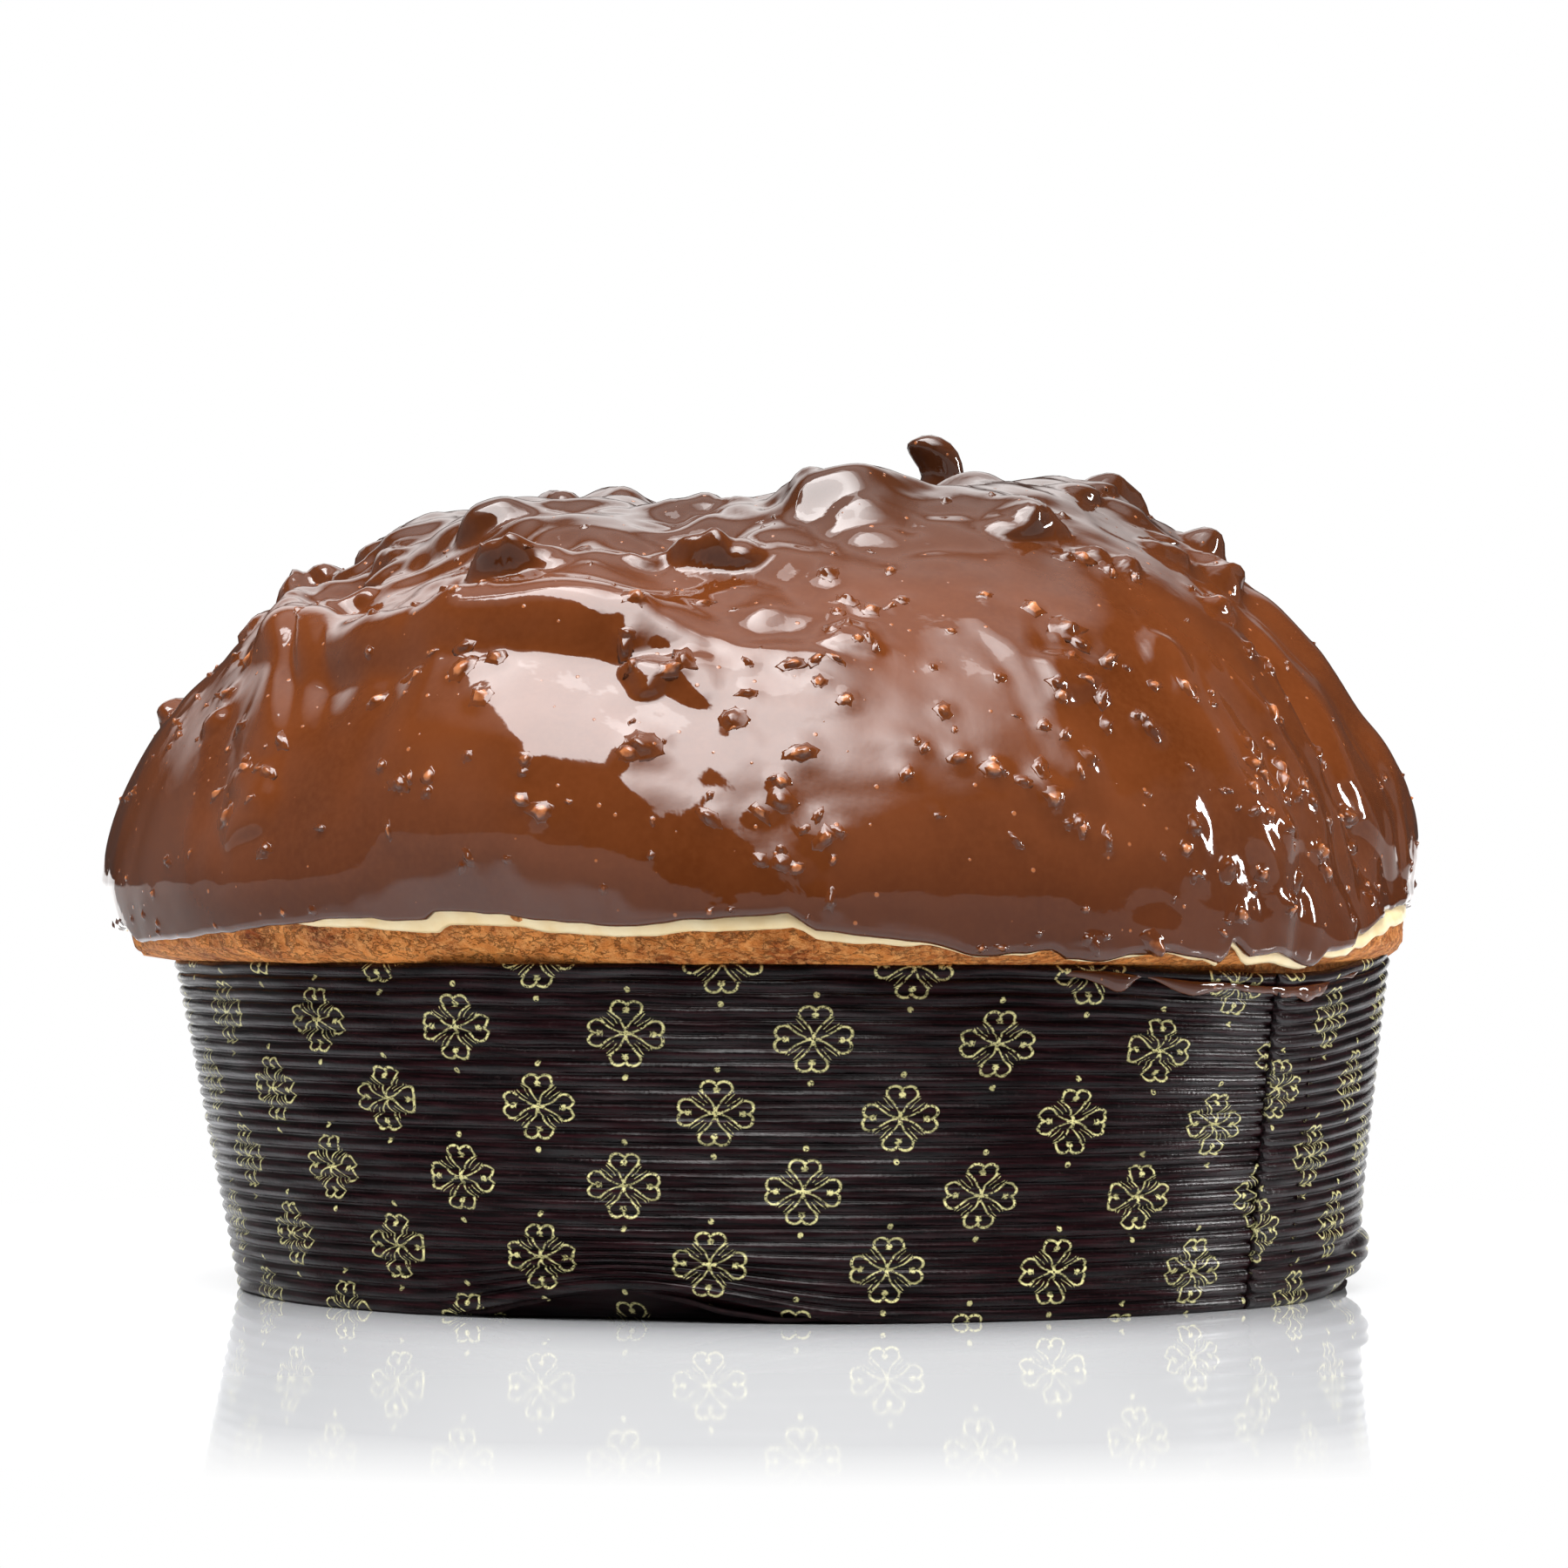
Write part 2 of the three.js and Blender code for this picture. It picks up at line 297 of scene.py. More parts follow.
def glaze_colour(tree, place):
    """The milk chocolate's colour and its relief, with fine crumbs of nut all through it, and painted
    shade that darkens it on the crown and towards the hem.
    """
    cloud = noise_field(tree, place, 45, 3)
    fine = noise_field(tree, place, 900, 2)
    height = split(tree, place)[2]
    crumbs = add_node(tree, "TexVoronoi", {"Vector": place, "Scale": 330.0, "Randomness": 1.0})
    crumb_size = add_node(tree, "SeparateColor", {0: crumbs.outputs["Color"]})
    size = Field(tree, crumb_size.outputs[0])
    speck = (Field(tree, crumbs.outputs["Distance"]) - size * 0.16 + 0.035).inside(0.05)
    # Painted shade darkens the glaze on the crown and towards the hem.
    body = paint(tree, MILK_DARK, (cloud.ramp(0.3, 0.72), MILK_LIGHT),
                 (fine.ramp(0.35, 0.75) * 0.3, MILK_CLOUDED),
                 (height.ramp(*CROWN_PAINTED_SHADE_SPAN) * 0.72, MILK_CROWN_PAINTED_SHADE),
                 (height.ramp(*HEM_PAINTED_SHADE_SPAN) * 0.5, MILK_HEM_PAINTED_SHADE), (speck * 0.8, CRUMB_TAN))
    ripple = noise_field(tree, place, 240, 2)
    pimple = noise_field(tree, place, 1000, 1)
    return body, ripple * 0.6 + pimple * 0.14 + speck * 0.8


def milk_chocolate_finish():
    material, tree, shader, place = new_material("milk_chocolate")
    body, relief = glaze_colour(tree, place)
    set_inputs(tree, shader, {"Base Color": body, "Normal": bump(tree, relief, 0.06),
                              "Roughness": GLAZE_ROUGHNESS, "IOR": 1.5})
    return material


def white_chocolate_finish():
    material, tree, shader, place = new_material("white_chocolate")
    cloud = noise_field(tree, place, 220, 4)
    cream, ivory = (0.86, 0.64, 0.32), (0.93, 0.8, 0.52)
    colour = paint(tree, cream, (cloud.ramp(0.3, 0.75), ivory))
    relief = noise_field(tree, place, 500, 3)
    set_inputs(tree, shader, {"Base Color": colour, "Normal": bump(tree, relief, 0.12),
                              "Roughness": 0.3})
    return material


def crust_finish():
    """Baked brown in patches, with a paler crumbly grain and painted shade darkening the cracks
    between its flakes.
    """
    material, tree, shader, place = new_material("baked_crust")
    patches = noise_field(tree, place, 110, 4, 0.65)
    grain = noise_field(tree, place, 750, 5, 0.7)
    flakes = noise_field(tree, place, 260, 5, 0.7, (1, 1, 1.8))
    deep_brown, golden = (0.3, 0.062, 0.008), (0.82, 0.29, 0.06)
    crumb_yellow, crack_painted_shade = (0.95, 0.48, 0.16), (0.1, 0.02, 0.004)
    crack = (abs(flakes - 0.5) - 0.012).inside(0.03)
    # The cracks' darker colour is painted shade in the recesses.
    colour = paint(tree, deep_brown, (patches.ramp(0.32, 0.68), golden),
                   (grain.ramp(0.45, 0.7) * 0.7, crumb_yellow), (crack * 0.6, crack_painted_shade))
    relief = grain * 0.5 + flakes * 1.3 - crack * 0.25
    set_inputs(tree, shader, {"Base Color": colour, "Normal": bump(tree, relief, 1.1),
                              "Roughness": 0.6, "Specular IOR Level": 0.2})
    return material


def hazelnut_finish():
    """Chips of nut under a thin glaze; the attribute says how bare each spot is."""
    material, tree, shader, place = new_material("glazed_hazelnut")
    glaze, relief = glaze_colour(tree, place)
    bare = Field(tree, add_node(tree, "Attribute", {}, attribute_name="bare").outputs["Fac"])
    patches = noise_field(tree, place, 420, 3)
    skin, flesh = (0.17, 0.042, 0.011), (0.46, 0.165, 0.06)
    nut = paint(tree, skin, (patches.ramp(0.35, 0.65), flesh))
    share = (bare + (patches - 0.5) * 0.9).ramp(0.35, 0.75)
    set_inputs(tree, shader, {"Base Color": paint(tree, glaze, (share, nut)),
                              "Normal": bump(tree, relief + patches, 0.06),
                              "Roughness": share * 0.15 + GLAZE_ROUGHNESS})
    return material


FLOWERS_AROUND = 22
PRINT_RADIUS = 100.0                # the print's own flat scale: millimetres along for a radian
FLOWER_PITCH = 2 * math.pi * PRINT_RADIUS / FLOWERS_AROUND
ROW_PITCH = 11.85
FLOWER_HALF_WIDTH = 6.1
FLOWER_HALF_HEIGHT = 5.2
DOT_OFFSET = 6.8                    # the dots' distance above and below a flower's middle
DOT_RADIUS = 0.45
PRINT_SLOPE = 0.05                  # millimetres that the rows drop for each degree around
PRINT_DROP = 2.9
PRINT_SHIFT = -0.4                  # sideways at the foot
PRINT_SLANT = 0.105                 # the flowers' columns lean over by this much for their height


def flower_ink(along, up):
    """A small four-petal flower in line, repeated on a grid; below zero on the ink.

    A flower is the same in all four quarters and across their diagonals, so "out" runs along a
    petal from the flower's middle, 0, to its tip, 1, and "side" runs away from the petal's axis.
    """
    x = (along / FLOWER_PITCH).math("FRACT") - 0.5
    y = (up / (2 * ROW_PITCH)).math("FRACT") - 0.5
    dots_y = abs(y) * (2 * ROW_PITCH)
    dots = distance(x * FLOWER_PITCH, dots_y, 0.0, DOT_OFFSET) - DOT_RADIUS
    dots = dots * (1 / FLOWER_HALF_WIDTH)
    x = abs(x) * (FLOWER_PITCH / FLOWER_HALF_WIDTH)
    y = abs(y) * (2 * ROW_PITCH / FLOWER_HALF_HEIGHT)
    out, side = x.most(y), x.least(y)
    lobe = distance(out, side, 0.75, 0.19) - 0.205
    neck = ((side - out.squared() * 0.9 - 0.02) * 0.75).most(out - 0.64)
    petal = abs(lobe.least(neck)) - out * 0.028 - 0.008
    seed = distance(out, side * 0.8, 0.71, 0.0) - 0.07
    ray = (abs(side - out * 0.8 + 0.01) - 0.01).most(abs(out - 0.45) - 0.15)
    star = distance(out, side * 4.0, 0.0, 0.0) - 0.2
    return petal.least(seed).least(ray).least(star).least(dots)


def printed_paper_finish():
    material, tree, shader, place = new_material("printed_mould_paper")
    wrap = add_node(tree, "UVMap", {}, uv_map="wrap").outputs[0]
    along, up, _ = split(tree, wrap)
    first = flower_ink(along, up)
    second = flower_ink(along + FLOWER_PITCH / 2, up + ROW_PITCH)
    grain = noise_field(tree, place, 2600, 2)
    broken = noise_field(tree, place, 500, 3)
    ink = first.least(second).inside(0.03)
    ink = ink * grain.ramp(0.36, 0.5) * (broken.ramp(0.25, 0.5) * 0.5 + 0.5)
    fibres = noise_field(tree, wrap, 0.55, 4, 0.65, (0.16, 3.0, 1.0))
    near_black, dark_brown = (0.003, 0.0017, 0.002), (0.024, 0.006, 0.008)
    dusty_brown, pale_fleck, dull_gold = (0.04, 0.022, 0.022), (0.3, 0.27, 0.25), (0.7, 0.65, 0.3)
    dust = noise_field(tree, place, 1500, 3)
    fleck = noise_field(tree, wrap, 0.35, 2, 0.5, (0.5, 1.6, 1.0))
    colour = paint(tree, near_black, (fibres.ramp(0.42, 0.72), dark_brown),
                   (dust.ramp(0.6, 0.8) * 0.3, dusty_brown),
                   (fleck.ramp(0.81, 0.83) * 0.7, pale_fleck), (ink, dull_gold))
    relief = fibres * 0.5 + dust * 0.5
    worn = noise_field(tree, wrap, 0.3, 3, 0.6, (0.14, 1.6, 1.0))
    sheen = worn.ramp(0.42, 0.68) * 0.22 + 0.05
    set_inputs(tree, shader, {"Base Color": colour, "Normal": bump(tree, relief, 0.12),
                              "Roughness": dust * 0.2 + 0.12, "Specular IOR Level": sheen})
    return material


def plain_paper_finish():
    material, tree, shader, place = new_material("plain_mould_paper")
    fibres = noise_field(tree, place, 300, 4, 0.65, (1, 3, 1))
    near_black, dark_brown = (0.005, 0.003, 0.0035), (0.024, 0.01, 0.011)
    colour = paint(tree, near_black, (fibres.ramp(0.35, 0.7), dark_brown))
    set_inputs(tree, shader, {"Base Color": colour, "Normal": bump(tree, fibres, 0.1),
                              "Roughness": 0.8, "Specular IOR Level": 0.1})
    return material


# ---- the dome ----

PLATEAU_RISE = 4.5                  # the crown's edge stands this much over a plain dome
PLATEAU_RADIUS = 56.0
PLATEAU_WIDTH = 15.0
SLOPING_AROUND = -30.0              # the crown has no such edge at the front left
SLOPING_WIDTH = 38.0
SHOULDER_PINCH = 0.3
SHOULDER_HEIGHT = 95.0
SHOULDER_WIDTH = 15.0
SWELL = 1.3                         # height of the crumb's broad waves
DOME_FREE = 70.0                    # above this height the mould no longer holds the loaf's shape

# How much the crown stands over or under the plain dome: (x, height), from left to right.
CROWN_SKYLINE = [
    (-105, 0), (-98, -0.5), (-92, -1), (-86.5, -0.5), (-80.5, 2), (-75, -1.5), (-68.5, -4),
    (-62, -2), (-46, -0.5), (-28, 0), (-15, -3.2), (-4, -3), (6, -1.5), (22, -0.5), (40, 1.3),
    (56, 3), (64, 3.5), (70, 3), (76, 2.5), (84, 0), (94, -1.6), (102, -4.5), (107, -4),
]

# The height of the dome's widest part: (around, height).
WAIST = [
    (-180, 69), (-150, 66), (-120, 68), (-95, 63), (-75, 63), (-58, 65), (-45, 66), (-36, 69),
    (-30, 75.5), (-22, 76), (-12, 71), (-4, 66), (2, 64.5), (8, 65), (16, 63), (28, 63), (38, 65),
    (48, 67), (62, 67), (72, 70), (82, 74.5), (95, 76), (108, 72), (130, 66), (155, 70),
]


def dome_point(around, down, inset=0.0):
    """A point of the dome, an inset inside the milk chocolate's mean outside."""
    waist = along_outline(WAIST, around)
    if down <= 90:
        power = 2 / DOME_SQUARENESS
        radius = (DOME_RADIUS - inset) * math.sin(math.radians(down)) ** power
        height = waist + (CROWN_HEIGHT - waist - inset) * math.cos(math.radians(down)) ** power
    else:
        below = math.radians(down - 90)
        radius = (DOME_RADIUS - inset) * math.cos(below)
        height = waist - DOME_DROP * math.sin(below)
    radius -= SHOULDER_PINCH * bell(height, SHOULDER_HEIGHT, SHOULDER_WIDTH)
    sloping = near(around, SLOPING_AROUND, SLOPING_WIDTH)
    height += PLATEAU_RISE * bell(radius, PLATEAU_RADIUS, PLATEAU_WIDTH) * (1 - sloping)
    across = radius * math.sin(math.radians(around))
    crown = 1 - smoothstep(down, 40 + 0.25 * abs(across), 62 + 0.22 * abs(across))
    height += crown * along_outline(CROWN_SKYLINE, across, turns=False)
    on_dome = smoothstep(height, MOULD_HEIGHT, DOME_FREE)
    waves = math.sin(math.radians(3 * around + 40)) + 0.6 * math.sin(math.radians(5 * around - 70))
    radius += SWELL * waves * smoothstep(radius, 5, 60) * on_dome
    shift = MOULD_LEAN + (DOME_SHIFT - MOULD_LEAN) * on_dome
    return polar(around, radius, height, shift)


def dome_outwards(around, down, inset=0.0):
    """The direction straight out of the dome at one of its points."""
    if down < 1.5:
        return Vector((0, 0, 1))
    downhill = dome_point(around, down + 0.5, inset) - dome_point(around, down - 0.5, inset)
    sideways = dome_point(around + 0.5, down, inset) - dome_point(around - 0.5, down, inset)
    return sideways.cross(downhill).normalized() * -1


def down_at_height(around, height):
    """The down angle of a height below the dome's widest part."""
    return 90 + math.degrees(math.asin((along_outline(WAIST, around) - height) / DOME_DROP))


# The milk chocolate's lower edge: (around, height). It runs lowest at the front right.
MILK_HEM = [
    (-180, 61), (-160, 59.5), (-140, 62), (-120, 60), (-100, 61.5), (-84, 60.5), (-74, 61.4),
    (-70, 59), (-60, 59.6), (-52, 60.8), (-43, 62), (-36, 63), (-29.5, 62.5), (-27.8, 63.9),
    (-22, 63.6), (-19, 62.6), (-12, 61.9), (-5, 63), (1.5, 63.6), (3.5, 61.2), (7, 60.4),
    (11, 59.4), (16, 57.2), (19.5, 57.6), (22, 58.2), (23.2, 56.8), (26.4, 56.4), (29, 57.2),
    (32.6, 57.8), (36.5, 56.6), (38.4, 55.7), (39.6, 59.4), (41.8, 56.9), (45, 57.4), (50, 55.3),
    (52, 57.6), (56, 58.2), (58, 60), (63, 62.3), (68, 64.2), (78, 65.5), (90, 64.5), (104, 62),
    (112, 63.5), (124, 60.5), (136, 62.5), (150, 60), (166, 62.5),
]

# How far the white chocolate shows below the milk chocolate.
CREAM_SHOWING = [
    (-180, 0.3), (-150, 1.4), (-120, 0.2), (-80, -0.6), (-44, -0.7), (-37, 1.0), (-29, 1.5),
    (-12, 1.3), (0, 1.7), (3, 1.2), (8, 0.7), (14, -0.3), (38, -0.2), (42, 1.0), (46, 1.0),
    (50, 0.0), (55, 1.0), (60, 1.8), (74, 2.3), (95, 0.8), (140, 0.4),
]


def milk_hem(around):
    """Where the milk chocolate's outside ends; its rounded lip hangs half a thickness lower."""
    ragged = 0.25 * bump_noise(polar(around, 110, 0), 3.5, 4)
    return along_outline(MILK_HEM, around) + 0.5 * MILK_THICKNESS + ragged


def white_hem(around):
    ragged = 0.3 * bump_noise(polar(around, 110, 0), 5, 7)
    return along_outline(MILK_HEM, around) - along_outline(CREAM_SHOWING, around) + ragged


# ---- milk chocolate coat ----

CAP_CELLS = 160                     # squares along each edge of the cube that the coat grows from

# Long folds in the glaze: height, half width, and the (around, down) points they run through.
FOLDS = [
    (4.4, 10.5, [(-68, 51), (-54, 51.5), (-43, 54), (-33, 55), (-25, 55.5), (-17, 55), (-9, 53),
                 (-3, 49)]),
    (-2.2, 8, [(-60, 40), (-45, 39), (-33, 40.5), (-20, 38), (-9, 34), (0, 27)]),
    (-1.5, 16, [(-30, 63), (-18, 65), (-8, 67), (4, 67)]),
    (-1.3, 6, [(-8, 52), (0, 54), (8, 54)]),
    (-3.0, 8, [(64, 49), (63, 57), (62, 66), (61, 75), (62, 83), (67, 90)]),
    (2.0, 13, [(80, 40), (80, 58), (78, 75), (80, 90)]),
    (1.0, 2.6, [(8, 98), (11, 101), (16, 103.5), (19.5, 101), (22, 98)]),
    (0.8, 5, [(40, 60), (42, 74), (45, 88)]),
    (0.7, 4, [(50, 62), (53, 78), (55, 92)]),
    (-0.8, 5, [(46, 62), (48.5, 76), (50, 90)]),
    (0.8, 6, [(24, 52), (26, 66), (27, 80)]),
    (0.9, 7, [(-12, 70), (0, 74), (10, 72)]),
    (-0.8, 7, [(-58, 62), (-54, 74), (-52, 86)]),
    (-1.2, 8, [(130, 30), (140, 50), (146, 75)]),
    (-1.2, 9, [(-120, 34), (-128, 55), (-132, 80)]),
    (1.2, 8, [(-158, 40), (-164, 62), (-166, 84)]),
    (1.2, 9, [(168, 30), (172, 55), (176, 80)]),
]

# Big lumps: around, down, radius, height, and how far they lean downhill.
LUMPS = [
    (97, 31, 6.5, 5, 0), (84, 41.6, 6, 4.4, 0), (-86, 44, 5, 3, 0), (72, 46, 6, 3, 0),
    (16, 25, 15, 3.6, 1.5), (8, 23, 7, 2.0, 1), (38, 36, 7, 3.4, 2), (34, 37, 5, 2.2, 1.5),
    (-30, 44, 8, 5.2, 2), (-26, 43, 6, 2.4, 1.5), (-9, 37, 8, 4.8, 2), (-3, 38, 6, 2.8, 2),
    (-14, 39, 5, 1.6, 1), (-90, 63, 4, 3, 0), (-60, 66, 4, 1.4, 0), (-100, 34, 9, 4, 0),
    (-88, 40, 6, 3.4, 0), (-128, 22, 8, 4, 0), (-75, 50, 5, 2.4, 0.5), (-60, 44, 6, 2.6, 1),
    (-150, 26, 9, 4, 0), (175, 22, 10, 3.5, 0), (150, 30, 8, 4, 0), (128, 24, 7, 3.5, 0),
    (60, 20, 8, 2.6, 0), (-48, 30, 8, 3, 1), (-18, 20, 9, 3, 0.5), (45, 46, 4, 2.0, 0.5),
    (57, 52, 4, 2.2, 0), (42, 44, 3.4, 1.8, 0), (-10, 63.5, 5, 2.0, 0.5), (31, 103, 3.4, 1.4, 0),
    (38, 106, 4, 1.1, 0), (45, 108, 4, 1.4, 0), (51, 104, 3.5, 1.2, 0), (57, 108, 4, 1.5, 0),
    (63, 105, 3.5, 1.3, 0), (24, 99, 4, 1, 0), (9, 55, 6, 1.2, 0), (1, 60, 20, 1.5, 0),
    (28, 61, 7, 1.5, 0), (48, 81, 9, 1.2, 0), (-47, 78, 8, 1.3, 0), (-6, 62, 7, 1.0, 0),
    (24, 76, 5, 0.8, 0), (40, 60, 6, 1.0, 0),
]
CROWN_LUMP_COUNT = 40


def crown_lumps():
    """Smaller lumps, scattered over the right, the back and the left of the crown."""
    random.seed(12)
    lumps = []
    for _ in range(CROWN_LUMP_COUNT):
        radius = random.uniform(3.5, 7.5)
        lumps.append((random.uniform(60, 300), 8 + 40 * math.sqrt(random.random()), radius,
                      radius * random.uniform(0.18, 0.4), random.uniform(0, 2)))
    return lumps


def billow(point, size, seed):
    """Rounded swellings with tight creases between them, from about -0.2 to 0.6."""
    value = bump_noise(point, size, seed)
    return math.sqrt(value * value + 0.003) - 0.22


def glaze_relief(point, around, down):
    """How far the glaze's outside stands off the mean dome, before folds and lumps."""
    def streaks(size, seed, drawn_out):
        return bump_noise(Vector((point.x, point.y, drawn_out * point.z)), size, seed)

    broad = 0.9 * bump_noise(point, 34, 1)
    runny = 0.36 * streaks(13, 2, 0.55)
    small = 0.07 * bump_noise(point, 5, 6)
    left_side = near(around, -85, 36)
    crown = 1 - smoothstep(down, 30 + 12 * left_side, 50 + 12 * left_side)
    calm = 1 - 0.6 * near(around, 62, 40)
    folded = crown * calm * (4.2 * billow(point, 19, 3) + 1.8 * billow(point, 9, 5))
    hem_flutes = smoothstep(down, 92, 99) * 0.45 * streaks(4.2, 8, 0.35)
    right_side = near(around, 58, 26) * smoothstep(down, 70, 90)
    side_flutes = right_side * 1.1 * streaks(6.5, 10, 0.5)
    return broad + runny + small + folded + hem_flutes + side_flutes


def half_cube_grid(cells):
    """The upper half of a cube with square cells, open at its flat bottom."""
    bm = bmesh.new()
    bmesh.ops.create_cube(bm, size=2)
    bmesh.ops.subdivide_edges(bm, edges=bm.edges[:], cuts=cells - 1, use_grid_fill=True)
    lower = [vert for vert in bm.verts if vert.co.z < -1e-6]
    bmesh.ops.delete(bm, geom=lower, context="VERTS")
    return bm


def push(tree, verts, centre, radius, move, steepness=0.0, ragged=0.0):
    """Moves the vertices near a centre by a vector that fades out at the radius.

    Steepness gives the lump a flatter top and steeper sides, and ragged an uneven outline.
    """
    for found, index, away in tree.find_range(centre, radius * (1 + ragged)):
        share = away / radius * (1 + ragged * bump_noise(found, 0.8 * radius, 9))
        if share >= 1:
            continue
        fade = (1 - share * share) ** 2
        if steepness:
            fade = (1 - steepness) * fade + steepness * (1 - smoothstep(share, 0.3, 1))
        verts[index].co += move * fade


def fold(tree, verts, height, half_width, path):
    """A long ridge, or a groove for a negative height, along a path on the dome."""
    nearest = {}
    for (around, down), (next_around, next_down) in zip(path, path[1:]):
        start, stop = dome_point(around, down), dome_point(next_around, next_down)
        steps = max(2, int((stop - start).length / 1.5))
        for step in range(steps + 1):
            share = step / steps
            centre = dome_point(around + share * (next_around - around),
                                down + share * (next_down - down))
            for _, index, away in tree.find_range(centre, half_width):
                nearest[index] = min(away, nearest.get(index, half_width))
    ends = [dome_point(*path[0]), dome_point(*path[-1])]
    for index, away in nearest.items():
        vert = verts[index]
        fade = (1 - (away / half_width) ** 2) ** 2
        from_end = min((vert.co - end).length for end in ends)
        vert.co += vert.normal * (height * fade * smoothstep(from_end, 0, 1.6 * half_width))


def milk_chocolate_coat():
    """Returns the coat's mesh, its outside vertices and a tree of where they lay before the folds."""
    bm = half_cube_grid(CAP_CELLS)
    around_layer = bm.verts.layers.float.new("around")
    for vert in bm.verts:
        direction = Vector([math.tan(math.pi / 4 * value) for value in vert.co]).normalized()
        around = math.degrees(math.atan2(direction.x, -direction.y))
        share = math.degrees(math.acos(min(1, direction.z))) / 90
        down = share * down_at_height(around, milk_hem(around))
        point = dome_point(around, down)
        vert.co = point + dome_outwards(around, down) * glaze_relief(point, around, down)
        vert[around_layer] = around
    bm.normal_update()
    bm.verts.ensure_lookup_table()
    verts = list(bm.verts)
    tree = KDTree(len(verts))
    for i, vert in enumerate(verts):
        tree.insert(vert.co, i)
    tree.balance()
    for height, half_width, path in FOLDS:
        fold(tree, verts, height, half_width, path)
    for around, down, radius, height, lean in LUMPS + crown_lumps():
        top = dome_point(around, down)
        downhill = (dome_point(around, down + 1) - top).normalized()
        move = dome_outwards(around, down) * height + downhill * lean
        push(tree, verts, top, radius, move, 0.6, 0.5)
    bm.normal_update()

    rim = [edge for edge in bm.edges if edge.is_boundary]
    grow_coat_inside(bm, rim, around_layer)
    bmesh.ops.recalc_face_normals(bm, faces=bm.faces)
    return bm, verts, tree


LIP_STEPS = 6
INSIDE_STEPS = 12
HEM_DOWN = 98                       # about where the hem lies, down from the crown


def next_ring(bm, rim):
    """Extrudes a ring of edges and returns the new ring's edges and vertices."""
    made = bmesh.ops.extrude_edge_only(bm, edges=rim)["geom"]
    verts = [item for item in made if isinstance(item, bmesh.types.BMVert)]
    edges = [item for item in made
             if isinstance(item, bmesh.types.BMEdge) and item.is_boundary]
    return edges, verts


def grow_coat_inside(bm, rim, around_layer):
    """Rounds the hem over into a lip, and carries the coat's inside up to the crown."""
    half = 0.5 * MILK_THICKNESS
    for step in range(LIP_STEPS):
        turn, before = (math.pi * (step + k) / LIP_STEPS for k in (1, 0))
        rim, ring = next_ring(bm, rim)
        for vert in ring:
            inwards = -dome_outwards(vert[around_layer], HEM_DOWN)
            inwards.z = 0
            vert.co += inwards * (half * (math.cos(before) - math.cos(turn)))
            vert.co.z -= half * (math.sin(turn) - math.sin(before))
    for step in range(1, INSIDE_STEPS + 1):
        rim, ring = next_ring(bm, rim)
        for vert in ring:
            around = vert[around_layer]
            lowest = down_at_height(around, milk_hem(around))
            down = lowest * (1 - step / (INSIDE_STEPS + 0.4))
            vert.co = dome_point(around, down, MILK_THICKNESS)
    bmesh.ops.holes_fill(bm, edges=rim)


# ---- hazelnut ----

# Clusters of chopped nut in the glaze: around, down, spread in degrees, how many, size.
NUT_CLUSTERS = [
    (-10, 62, 2, 5, 2.6), (2, 76, 1, 2, 2.6), (5, 80, 1, 2, 2.6), (-1, 86, 2, 3, 2.0),
    (5, 88, 0.5, 1, 2.4), (9, 49, 3, 5, 2.0), (8, 56, 3, 6, 2.0), (2, 61, 4, 7, 1.8),
    (29, 61, 4, 10, 2.4), (27, 68, 3, 6, 2.2), (29, 76, 3, 5, 2.2), (44, 80, 5, 11, 2.2),
    (52, 78, 5, 9, 2.4), (56, 86, 4, 7, 2.2), (43, 88, 4, 5, 2.0), (-17, 77, 3, 4, 2.4),
    (-9, 74, 0.5, 1, 3.2), (-26, 62, 2, 3, 2.4), (-36, 64, 3, 3, 2.0), (-43, 79, 4, 4, 2.0),
    (-50, 77, 3, 5, 2.4), (-31, 84, 4, 4, 1.8), (-26, 88, 4, 3, 1.8), (13, 72, 4, 5, 2.0),
    (22, 75, 3, 5, 2.4), (42, 46, 3, 5, 2.4), (55, 54, 4, 6, 2.4), (34, 85, 2, 3, 2.0),
    (31, 99, 0.5, 1, 4.5), (25, 94, 1, 2, 1.8), (-25, 94, 1, 2, 1.6), (17, 93, 2, 2, 1.6),
    (-62, 60, 6, 6, 2.2), (-30, 50, 6, 6, 2.2), (20, 30, 12, 8, 2.4),
]
SCATTERED_NUTS = 170                # over the back of the glaze
TINY_NUTS = 260                     # all over it


def nut_places():
    """Where the chips of nut sit: (around, down, size) for each."""
    random.seed(5)
    places = []
    for around, down, spread, count, size in NUT_CLUSTERS:
        for _ in range(count):
            places.append((around + random.gauss(0, spread), down + random.gauss(0, spread),
                           0.85 * size * random.uniform(0.6, 1.15)))
    for _ in range(SCATTERED_NUTS):
        down = 95 * math.sqrt(random.uniform(0.02, 0.95))
        places.append((random.uniform(96, 262), down, random.uniform(0.9, 2.1)))
    for _ in range(TINY_NUTS):
        down = 98 * math.sqrt(random.uniform(0.05, 0.97))
        places.append((random.uniform(-180, 180), down, random.uniform(0.55, 1.0)))
    return places


# A chip's rings from its tip to its foot: (radius, height, bareness), as shares of its size.
NUT_RINGS = [
    (0.34, 0.32, 1.0), (0.52, 0.22, 0.8), (0.64, 0.1, 0.4), (0.95, 0.02, 0.0), (1.35, -0.02, 0.0),
]
NUT_SIDES = 9
NUT_TIP = 0.33                      # the tip's height, and the root's depth in the glaze
NUT_ROOT = 0.3


def skin_rings(bm, rings, root, tip=None):
    """Faces between rings of vertices, from the tip's ring to the foot's and on to a root."""
    sides = len(rings[0])
    for side in range(sides):
        after = (side + 1) % sides
        if tip:
            bm.faces.new((tip, rings[0][side], rings[0][after]))
        bm.faces.new((root, rings[-1][after], rings[-1][side]))
        for inner, outer in zip(rings, rings[1:]):
            bm.faces.new((inner[side], outer[side], outer[after], inner[after]))


